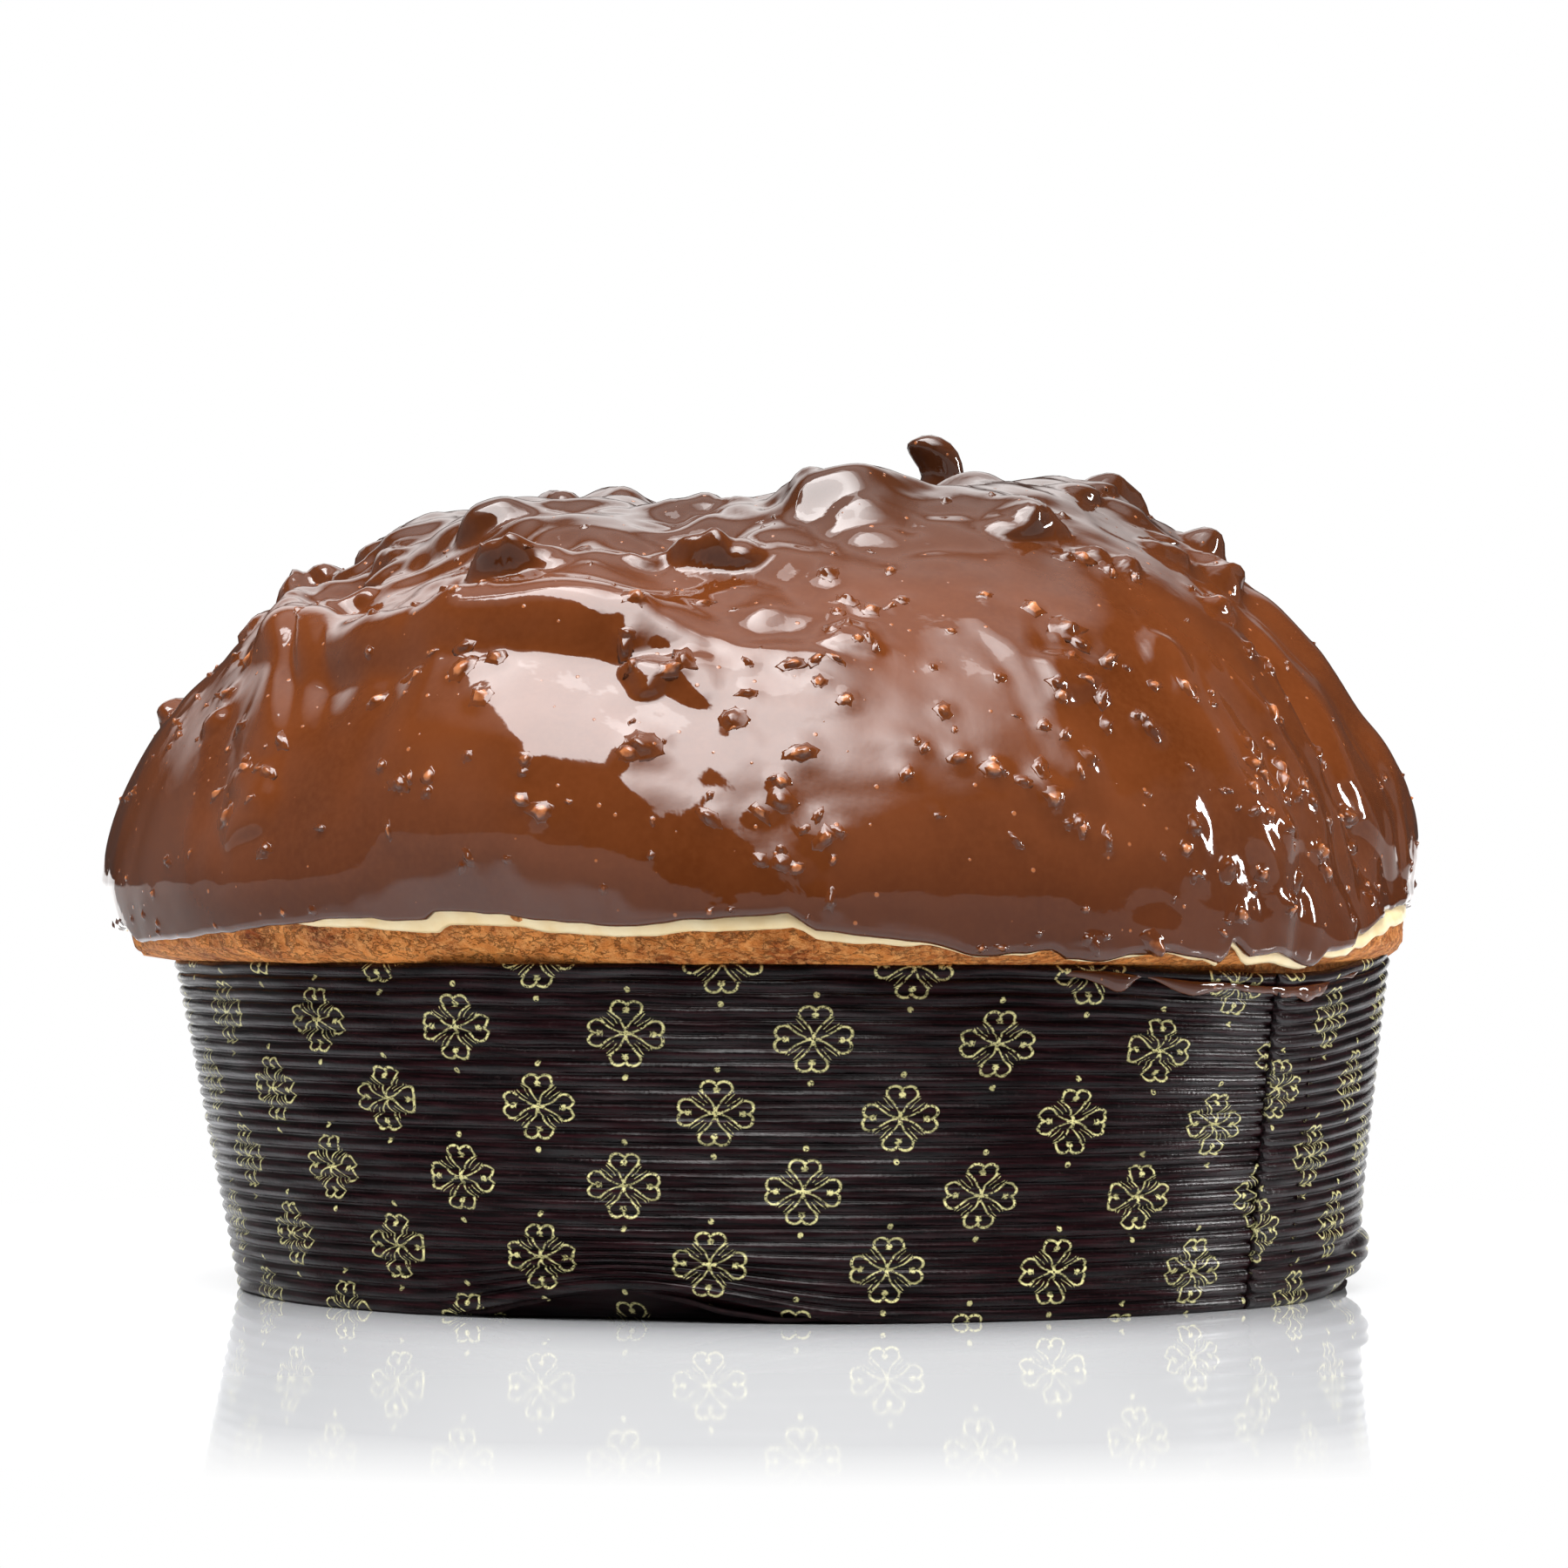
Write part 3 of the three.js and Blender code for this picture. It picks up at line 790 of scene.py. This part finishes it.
def nut_piece(bm, surface, bareness_layer, place, outwards, size):
    """One angular chip of nut under the glaze, which runs out flat onto the coat around it."""
    seed = random.uniform(0, 90)
    start = outwards.orthogonal().normalized()
    square = outwards.cross(start)
    across = start * math.cos(seed) + square * math.sin(seed)
    along = square * math.cos(seed) - start * math.sin(seed)
    phase = random.uniform(0, 2 * math.pi)
    tilt = random.uniform(0.2, 0.6)
    bareness = random.choice((0.05, 0.3, 0.55, 0.85))
    longer = random.uniform(0.45, 1.0)
    tip = bm.verts.new(place + outwards * (NUT_TIP * size))
    tip[bareness_layer] = bareness
    root = bm.verts.new(place - outwards * (NUT_ROOT * size))
    rings = []
    for radius, height, bare in NUT_RINGS:
        ring = []
        for side in range(NUT_SIDES):
            turn = 2 * math.pi * side / NUT_SIDES
            spot = Vector((math.cos(turn) * 1.5, math.sin(turn) * 1.5, seed))
            chipped = 1 + 0.6 * noise.noise(spot)
            leaning = 0.9 + tilt * math.cos(turn - phase) if height > 0.1 else 1
            out = across * math.cos(turn) + along * (longer * math.sin(turn))
            found = surface.find_nearest(place + out * (radius * chipped * size))[0]
            vert = bm.verts.new(found + outwards * (height * size * leaning))
            vert[bareness_layer] = bareness * bare
            ring.append(vert)
        rings.append(ring)
    skin_rings(bm, rings, root, tip)


# The curl of glaze on the crown: each ring's radius and its (across, up) offset from the foot.
CURL_RINGS = [
    (6.5, 0, 0), (5.0, 0.8, 0.6), (4.0, 1.6, 1.8), (3.5, 2.2, 3.4), (3.4, 2.4, 5.0), (3.6, 2.0, 6.6),
    (3.8, 1.2, 8.2), (3.7, 0.2, 9.6), (3.2, -0.8, 10.6), (2.3, -1.6, 11.2), (1.1, -2.1, 11.4),
]
CURL_SIDES = 20
CURL_PLACE = (108, 13.5)            # around and down
CURL_SHIFT = 1.6                    # to the right, above its foot
CURL_FOOT_RINGS = 2                 # these lie on the coat
CURL_LEAN = 0.05
CURL_ROOT = 1.2                     # how deep its root reaches into the glaze


def curl(bm, surface):
    """A knob of glaze that was drawn up and set, leaning over to the left."""
    foot = surface.find_nearest(dome_point(*CURL_PLACE))[0]
    rings = []
    for number, (radius, across, up) in enumerate(CURL_RINGS):
        lean = CURL_LEAN * number * number / len(CURL_RINGS)
        ring = []
        for side in range(CURL_SIDES):
            turn = 2 * math.pi * side / CURL_SIDES
            wavy = radius * (1 + 0.1 * math.sin(2 * turn + 0.5 * number))
            out = Vector((wavy * math.cos(turn), 0.8 * wavy * math.sin(turn), 0))
            place = foot + out + Vector((CURL_SHIFT + across, 0, up + lean * out.x))
            if number < CURL_FOOT_RINGS:
                place = surface.find_nearest(foot + out)[0] + Vector((0, 0, up - 0.05))
            ring.append(bm.verts.new(place))
        rings.append(ring)
    root = bm.verts.new(foot - Vector((0, 0, CURL_ROOT)))
    skin_rings(bm, rings[::-1], root)
    bm.faces.new(rings[-1])


# ---- the loaf and the white chocolate ----

TURN_STEPS = 480


def spin_profile(profile):
    """Turns a profile of (radius, height) points full circle about the upright axis."""
    bm = bmesh.new()
    verts = [bm.verts.new((0, -radius, height)) for radius, height in profile]
    edges = [bm.edges.new(pair) for pair in zip(verts, verts[1:])]
    bmesh.ops.spin(bm, geom=verts + edges, cent=(0, 0, 0), axis=(0, 0, 1), angle=2 * math.pi,
                   steps=TURN_STEPS, use_merge=True)
    bmesh.ops.remove_doubles(bm, verts=bm.verts, dist=1e-4)
    return bm


def around_of(point):
    return math.degrees(math.atan2(point.x, -point.y))


CREAM_STEPS = 40                    # from the crown to the hem
CREAM_EDGE = CREAM_STEPS + 1.5      # the radius that stands for the coat's rounded edge
CREAM_PEEP = 1.2                    # the coat swells out this much where it shows


def white_chocolate_coat(material):
    """Spun as a flat double plate whose rings then move to their places on the dome.

    A ring's radius counts its steps from the crown, and above or below tells its side.
    """
    top = [(2 + step, 199 - step) for step in range(CREAM_STEPS)]
    underside = [(radius, height - 300) for radius, height in reversed(top)]
    edge = (CREAM_EDGE, 200 - CREAM_STEPS)
    bm = spin_profile([(0, 200), *top, edge, *underside, (0, -100)])
    for vert in bm.verts:
        around = around_of(vert.co)
        radius = math.hypot(vert.co.x, vert.co.y)
        lowest = down_at_height(around, white_hem(around))
        inset = WHITE_INSET if vert.co.z > 0 else WHITE_INSET + WHITE_THICKNESS
        if radius < 1e-3:
            share = 0.0
        elif radius > CREAM_EDGE - 0.3:
            share = 1.004
            inset = WHITE_INSET + WHITE_THICKNESS / 2
        else:
            share = ((radius - 1) / CREAM_STEPS) ** 0.6
        inset -= CREAM_PEEP * smoothstep(share, 0.955, 0.985)
        vert.co = dome_point(around, share * lowest, inset)
    bmesh.ops.recalc_face_normals(bm, faces=bm.faces)
    finish_piece(bm, "white_chocolate", material, ["white_chocolate_coat"])


CRUST_FOOT = 57.2                   # height where the crust turns in over the rim
CRUST_TOP = 84                      # down angle above which the coats cover it
BAND_STEPS = 22                     # rings of the crust that shows
CROWN_STEPS = 24                    # rings from there to the crown
LOAF_FLOOR = 1.4
LOAF_GAP = 1.9                      # from the ribs' crests to the loaf's side
DOME_RING = 500                     # a ring's radius counts its steps up the dome from here


def crust_relief(point, down, lowest):
    """How far the crust that shows stands off the crumb's mean outside."""
    rough = 0.9 * bump_noise(point, 11, 11) + 0.7 * bump_noise(point, 4, 12)
    rough += 0.6 * abs(bump_noise(Vector((point.x, point.y, 2.2 * point.z)), 5, 13)) + 0.7
    rough *= smoothstep(down, CRUST_TOP, CRUST_TOP + 8)
    return rough - 1.2 * smoothstep(down, lowest - 1.6, lowest)


def loaf(material):
    """One closed solid: straight sides in the mould, then a torn crust, then the dome."""
    side = [(wall_radius(height) - LOAF_GAP, height) for height in (LOAF_FLOOR + 2, 15, 30, 45, 55.5)]
    floor = [(0, LOAF_FLOOR), (45, LOAF_FLOOR), (70, LOAF_FLOOR + 0.4),
             (FOOT_RADIUS - LOAF_GAP - 3, LOAF_FLOOR + 2)]
    dome = [(DOME_RING + step, 0) for step in range(BAND_STEPS + CROWN_STEPS + 1)]
    bm = spin_profile([*floor, *side, *dome, (0, 1000)])
    for vert in bm.verts:
        around = around_of(vert.co)
        step = math.hypot(vert.co.x, vert.co.y) - DOME_RING
        if vert.co.z > 900:
            vert.co = dome_point(0, 0, CRUMB_INSET)
            continue
        if step < -10:
            lean_and_lift(vert.co)
            continue
        lowest = down_at_height(around, CRUST_FOOT)
        if step <= BAND_STEPS:
            down = lowest + (CRUST_TOP - lowest) * step / BAND_STEPS
        else:
            down = CRUST_TOP * (1 - (step - BAND_STEPS) / (CROWN_STEPS + 1))
        point = dome_point(around, down, CRUMB_INSET)
        relief = 0.0
        if down > CRUST_TOP:
            relief = crust_relief(point, down, lowest)
            torn = 1.1 * bump_noise(polar(around, 100, 0), 11, 14)
            point.z += smoothstep(down, lowest - 3, lowest) * torn
        vert.co = point + dome_outwards(around, max(down, 2), CRUMB_INSET) * relief
    bmesh.ops.recalc_face_normals(bm, faces=bm.faces)
    finish_piece(bm, "loaf_crust", material, ["loaf"])


# ---- paper mould ----

SEAM_AROUND = 53.0                  # where the glued ends of the wall overlap
OVERLAP = 7.0                       # degrees
RIB_POINTS = 7                      # along each rib's curve
WALL_STEPS = 300
LAYER = 0.55                        # the outer end stands off the inner one
LIFT_HEIGHT = 5.2                   # the foot is pushed up at the front left
LIFT_AROUND = -16.0
LIFT_HALF_WIDTH = 24.0
LIFT_FADE = 14.0
TUCK_AROUND = 82.0                  # the foot is tucked under a lip at the right
CREASE_AROUND = 76.0
RIGHT_AROUND = 92.0                 # the ribs climb towards the right
SAG_AROUND = 52.0                   # the rim sags at the seam


def lean_and_lift(point):
    """Moves a point by the mould's lean and by the arch in the floor and the loaf at its foot."""
    across = min(1.0, abs(turn_between(around_of(point), ARCH_AROUND)) / ARCH_HALF_WIDTH)
    arch = 0.5 + 0.5 * math.cos(math.pi * across)
    near_foot = 1 - smoothstep(point.z, 0, ARCH_FADE)
    near_wall = smoothstep(math.hypot(point.x, point.y), 50, FOOT_RADIUS)
    point.x += MOULD_LEAN * point.z / MOULD_HEIGHT
    point.z += ARCH_HEIGHT * arch * near_foot * near_wall


def wall_radius(height):
    return FOOT_RADIUS + (RIM_RADIUS - FOOT_RADIUS) * height / MOULD_HEIGHT


def foot_lift(around, height):
    """How far the wall's foot is pushed up at the front left."""
    away = abs(turn_between(around, LIFT_AROUND))
    arch = 1 - smoothstep(away, 0, LIFT_HALF_WIDTH)
    return LIFT_HEIGHT * arch * (1 - smoothstep(height, 0, LIFT_FADE))


def wall_place(along, height, depth):
    """A point of the wall: along the strip in degrees, up the wall, and behind the ribs' crests."""
    around = along % 360
    seam_end = SEAM_AROUND - 360 + OVERLAP / 2
    radius = wall_radius(height) - depth + LAYER * (1 - smoothstep(along, seam_end, seam_end + 10))
    facing = polar(around, 100, height)
    radius += 0.35 * bump_noise(facing, 45, 21) + 0.18 * bump_noise(facing, 12, 22)
    lip = 1.8 * bell(height, 6.5, 3.2) - 3.2 * (1 - smoothstep(height, 0, 4))
    radius += lip * near(around, TUCK_AROUND, 13)
    above_crease = height - 0.12 * turn_between(around, CREASE_AROUND)
    radius -= 1.1 * near(around, CREASE_AROUND, 14) * bell(above_crease, 8.2, 1.1)
    rise = 3.0 * near(around, RIGHT_AROUND, 24) * smoothstep(height, 2, 14)
    rise -= 2.0 * near(around, SAG_AROUND, 17) * smoothstep(height, 20, 56)
    rise += 0.25 * bump_noise(polar(around, 100, 0), 9, 23) * smoothstep(height, 30, 56)
    point = polar(around, radius, height)
    point.x += MOULD_LEAN * height / MOULD_HEIGHT
    point.z += rise + foot_lift(around, height)
    return point


INSIDE_ROWS = 14                    # of faces, down the strip's plain inside


def mould_wall(material):
    """A strip of ribbed paper, bent round and overlapped at its seam."""
    rows = RIB_COUNT * RIB_POINTS
    loop = rows + INSIDE_ROWS
    start, stop = SEAM_AROUND - 360 - OVERLAP / 2, SEAM_AROUND + OVERLAP / 2
    bm = bmesh.new()
    bmesh.ops.create_grid(bm, x_segments=WALL_STEPS, y_segments=loop, size=0.5)
    wrap = bm.loops.layers.uv.new("wrap")
    flat = {}
    for vert in bm.verts:
        along = start + (stop - start) * (vert.co.x + 0.5)
        row = round((vert.co.y + 0.5) * loop)
        if row <= rows:
            height = MOULD_HEIGHT * row / rows
            crest = abs(math.sin(math.pi * row / RIB_POINTS))
            rib = row // RIB_POINTS
            wobble = 1 + 0.35 * noise.noise(Vector((along * 0.12, rib * 2.7, 0)))
            depth = RIB_DEPTH * wobble * (1 - crest ** 0.8)
        else:
            height = min(MOULD_HEIGHT - 0.05, MOULD_HEIGHT * (loop - row) / INSIDE_ROWS)
            depth = RIB_DEPTH + PAPER_THICKNESS
        vert.co = wall_place(along, height, depth)
        across = math.radians(along) * PRINT_RADIUS - PRINT_SHIFT - PRINT_SLANT * height
        up = height + foot_lift(along % 360, height) + PRINT_DROP + PRINT_SLOPE * along
        flat[vert] = (across, up)
    for face in bm.faces:
        for corner in face.loops:
            corner[wrap].uv = flat[corner.vert]
    bmesh.ops.remove_doubles(bm, verts=bm.verts, dist=1e-3)
    close_ends(bm)
    finish_piece(bm, "ribbed_paper_wall", material, ["mould_wall"])


# The pressed floor's section, from the middle of its underside round to the middle of its top.
FLOOR_PROFILE = [
    (0, 1.0), (50, 0.8), (80, 0.2), (86, 0.0), (92.6, 0.0), (94.2, 0.3),
    (94.4, 0.9), (92.8, 1.1), (86, 0.9), (80, 1.0), (50, 1.4), (0, 1.6),
]
FLOOR_PLEATS = 60
PLEAT_HALF = 0.12                   # half a pleat's height


def mould_floor(material):
    """The mould's pressed paper floor, pleated where it meets the wall."""
    bm = spin_profile(FLOOR_PROFILE)
    for vert in bm.verts:
        wave = 1 + math.sin(math.radians(FLOOR_PLEATS * around_of(vert.co)))
        vert.co.z += PLEAT_HALF * wave * smoothstep(math.hypot(vert.co.x, vert.co.y), 80, 92)
        lean_and_lift(vert.co)
    bmesh.ops.recalc_face_normals(bm, faces=bm.faces)
    finish_piece(bm, "pressed_paper_floor", material, ["mould_base"])


# ---- glaze on the paper ----

# Its upper and lower edges: (around, height).
SPILL_TOP = [(24, 55.6), (28, 55.2), (33, 54.6), (40, 54.2), (50, 53.9), (60, 54.2), (66, 54.6)]
SPILL_BOTTOM = [
    (24, 55.0), (28, 53.4), (30.5, 52.2), (33, 53.9), (37, 52.3), (41.5, 52.2), (44, 53.2),
    (50, 51.9), (54, 51.4), (56, 52.0), (60, 53.2), (66, 54.2),
]
SPILL_STEPS = 170
SPILL_SIDES = 18
SPILL_THICKNESS = 1.5
SPILL_SOAKED = 0.35                 # how deep its back lies between the ribs


def glaze_spill(material):
    """Glaze that ran over the rim and set on the paper, as a flattened bead."""
    start, stop = SPILL_TOP[0][0], SPILL_TOP[-1][0]
    bm = bmesh.new()
    bmesh.ops.create_grid(bm, x_segments=SPILL_STEPS, y_segments=SPILL_SIDES, size=0.5)
    for vert in bm.verts:
        share = vert.co.x + 0.5
        around = start + (stop - start) * share
        turn = 2 * math.pi * (vert.co.y + 0.5)
        top, bottom = along_outline(SPILL_TOP, around), along_outline(SPILL_BOTTOM, around)
        bottom += 1.2 * bump_noise(polar(around, 100, 0), 4.5, 31)
        taper = math.sqrt(max(0.0, 1 - (2 * share - 1) ** 8))
        half = max(0.02, 0.5 * (top - bottom) * taper)
        height = 0.5 * (top + bottom) + half * math.cos(turn)
        thick = min(SPILL_THICKNESS, 1.1 * half) * taper
        stands_off = 0.5 * thick * (1 + math.sin(turn)) - SPILL_SOAKED
        vert.co = wall_place(around, height, 0) + polar(around, stands_off, 0)
    bmesh.ops.remove_doubles(bm, verts=bm.verts, dist=0.02)
    close_ends(bm)
    finish_piece(bm, "set_glaze_spill", material, ["glaze_spill"])


# ---- the studio ----

CAMERA_PLACE = Vector((-0.0021, -0.970, 0.065))
CAMERA_AIM = Vector((-0.0021, 0.0, 0.086))
CAMERA_LENS = 129.2
LIGHTS_AIM = Vector((0, -0.02, 0.085))


def camera():
    """A long lens from just above the mould's rim, straight at the front."""
    data = bpy.data.cameras.new("camera")
    data.lens = CAMERA_LENS
    data.sensor_width = 36
    data.clip_start = 0.01
    data.clip_end = 20
    made = new_object("camera", data)
    made.location = CAMERA_PLACE
    made.rotation_euler = (CAMERA_AIM - CAMERA_PLACE).to_track_quat("-Z", "Y").to_euler()
    bpy.context.scene.camera = made


def soft_light(name, around, elevation, away, width, height, radiance):
    """A rectangular soft box that looks at the loaf, hidden from the camera."""
    rise = math.radians(elevation)
    direction = polar(around, math.cos(rise), math.sin(rise))
    data = bpy.data.lights.new(name, "AREA")
    data.shape = "RECTANGLE"
    data.size, data.size_y = width, height
    data.energy = radiance * math.pi * width * height
    made = new_object(name, data)
    made.location = LIGHTS_AIM + direction * away
    made.rotation_euler = (-direction).to_track_quat("-Z", "Y").to_euler()
    made.visible_camera = False


def soft_window(look, around, elevation, roll, left, right, bottom, top):
    """A glow in the surround with edges of their own softness: (where full, where gone) for each.

    The edges are tangents of the angle away from the middle of the window.
    """
    rise, turn = math.radians(elevation), math.radians(roll)
    towards = polar(around, math.cos(rise), math.sin(rise))
    level = polar(around + 90, 1, 0)
    upright = towards.cross(level)
    sideways = level * math.cos(turn) + upright * math.sin(turn)
    upwards = upright * math.cos(turn) - level * math.sin(turn)
    ahead, aside, above = (look[0] * axis.x + look[1] * axis.y + look[2] * axis.z
                           for axis in (towards, sideways, upwards))
    facing = ahead.ramp(0.2, 0.25)
    aside, above = aside / ahead.most(0.2), above / ahead.most(0.2)
    glow = aside.ramp(left[1], left[0]) * aside.ramp(right[1], right[0]).squared()
    return glow * above.ramp(bottom[1], bottom[0]) * above.ramp(top[1], top[0]).squared() * facing


def studio_air():
    """A white surround for the camera; for reflections, a dark room with white above and behind.

    The directions' parts run from -1 to 1: across to the right, back away from the front, and up.
    """
    world = bpy.data.worlds.new("studio")
    bpy.context.scene.world = world
    world.use_nodes = True
    tree = world.node_tree
    look = split(tree, add_node(tree, "TexCoord", {}).outputs["Generated"])
    across, back, up = look
    back_wall = up.ramp(0.22, 0.4) * 1.5 * back.ramp(0.62, 0.8)
    back_wall = back_wall * up.ramp(0.78, 0.66) * across.ramp(0.38, 0.12)
    right_card = (across - back * 0.35).ramp(0.42, 0.46) * up.ramp(0.6, 0.56) * 0.15
    left_wall = (across * -1).ramp(0.5, 0.8) * up.ramp(0.75, 0.3) * 0.22
    table_shade = back.ramp(0.1, -0.1) * 0.06
    table_level = (up - table_shade).inside(0.015) * 0.6
    ceiling = up.ramp(0.7, 0.86) * (across - up * 0.5).inside(0.2)
    key = soft_window(look, -31, 57, -35, left=(-0.62, -0.68), right=(0.28, 0.95),
                      bottom=(-0.1, -0.13), top=(0.3, 1.4)) * 12
    room = back_wall.most(table_level).most(right_card).most(left_wall) + 0.04
    shade = room.most(ceiling).most(key).most(camera_ray(tree))
    set_inputs(tree, tree.nodes["Background"], {"Color": (1, 1, 1, 1), "Strength": shade})


TABLE_RADIUS = 0.75
GLOSS_FADE = (0.26, 0.34)           # the polish wears off between these distances from the middle
TABLE_GLOW = (0.6, 0.4)             # of the worn table: for all light, and more for the camera


def white_table():
    """A round white table top, polished under the loaf and plain white further out."""
    bm = bmesh.new()
    bmesh.ops.create_circle(bm, cap_ends=True, segments=160, radius=TABLE_RADIUS)
    material, tree, shader, place = new_material("glossy_white_table")
    squeezed = add_node(tree, "Mapping", {"Vector": place, "Scale": (1.3, 1, 1)})
    length = add_node(tree, "VectorMath", {0: squeezed.outputs[0]}, operation="LENGTH")
    away = Field(tree, length.outputs["Value"])
    set_inputs(tree, shader, {"Base Color": (0.56, 0.57, 0.59, 1), "Roughness": 0.03})
    strength = camera_ray(tree) * TABLE_GLOW[1] + TABLE_GLOW[0]
    glow = add_node(tree, "Emission", {"Color": (1, 1, 1, 1), "Strength": strength})
    # In front of the loaf and behind it, the table already glows in part: painted light that pales
    # the loaf's reflection there.
    painted_glow_near_loaf = abs(split(tree, place)[0]).ramp(0.1, 0.04) * away.ramp(0.1, 0.155) * 0.38
    faded = away.ramp(*GLOSS_FADE).most(painted_glow_near_loaf)
    top = add_node(tree, "MixShader", {0: faded, 1: shader.outputs[0], 2: glow.outputs[0]})
    set_inputs(tree, tree.nodes["Material Output"], {"Surface": top.outputs[0]})
    mesh_object(bm, "white_table", material)


# ---- assembly ----

def glaze_and_nuts(material):
    """The milk chocolate coat, which rises a little around each nut, and the nuts and the curl."""
    bm, verts, tree = milk_chocolate_coat()
    nut_names = [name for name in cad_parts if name.startswith("hazelnut")]
    spots = [(dome_point(around, down), size) for around, down, size in nut_places()]
    for name in nut_names:
        low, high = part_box(name)
        spots.append(((low + high) / (2 * MM), 0.45 * (high - low).length / MM))
    for spot, size in spots:
        found, nearest, _ = tree.find(spot)
        push(tree, verts, found, 1.9 * size, verts[nearest].normal * (0.16 * size))
    bm.normal_update()
    surface = BVHTree.FromBMesh(bm)
    nuts = bmesh.new()
    bareness_layer = nuts.verts.layers.float.new("bare")
    random.seed(9)
    for spot, size in spots:
        _, nearest, _ = tree.find(spot)
        nut_piece(nuts, surface, bareness_layer, verts[nearest].co, verts[nearest].normal, size)
    curl(nuts, surface)
    finish_piece(bm, "milk_chocolate", material, ["milk_chocolate_coat"])
    finish_piece(nuts, "chopped_hazelnuts", hazelnut_finish(), nut_names)


camera()
milk = milk_chocolate_finish()
glaze_and_nuts(milk)
white_chocolate_coat(white_chocolate_finish())
loaf(crust_finish())
mould_wall(printed_paper_finish())
glaze_spill(milk)
mould_floor(plain_paper_finish())

white_table()
studio_air()
soft_light("top_soft_box", around=-50, elevation=84, away=0.9, width=0.5, height=0.4, radiance=2.6)
soft_light("right_strip", around=92, elevation=14, away=0.7, width=0.045, height=0.26, radiance=75)
soft_light("left_strip", around=-95, elevation=60, away=0.7, width=0.03, height=0.22, radiance=9)
soft_light("low_back_card", around=180, elevation=-5.9, away=0.5, width=0.75, height=0.1,
           radiance=1.1)
bpy.context.scene.view_settings.view_transform = "Standard"
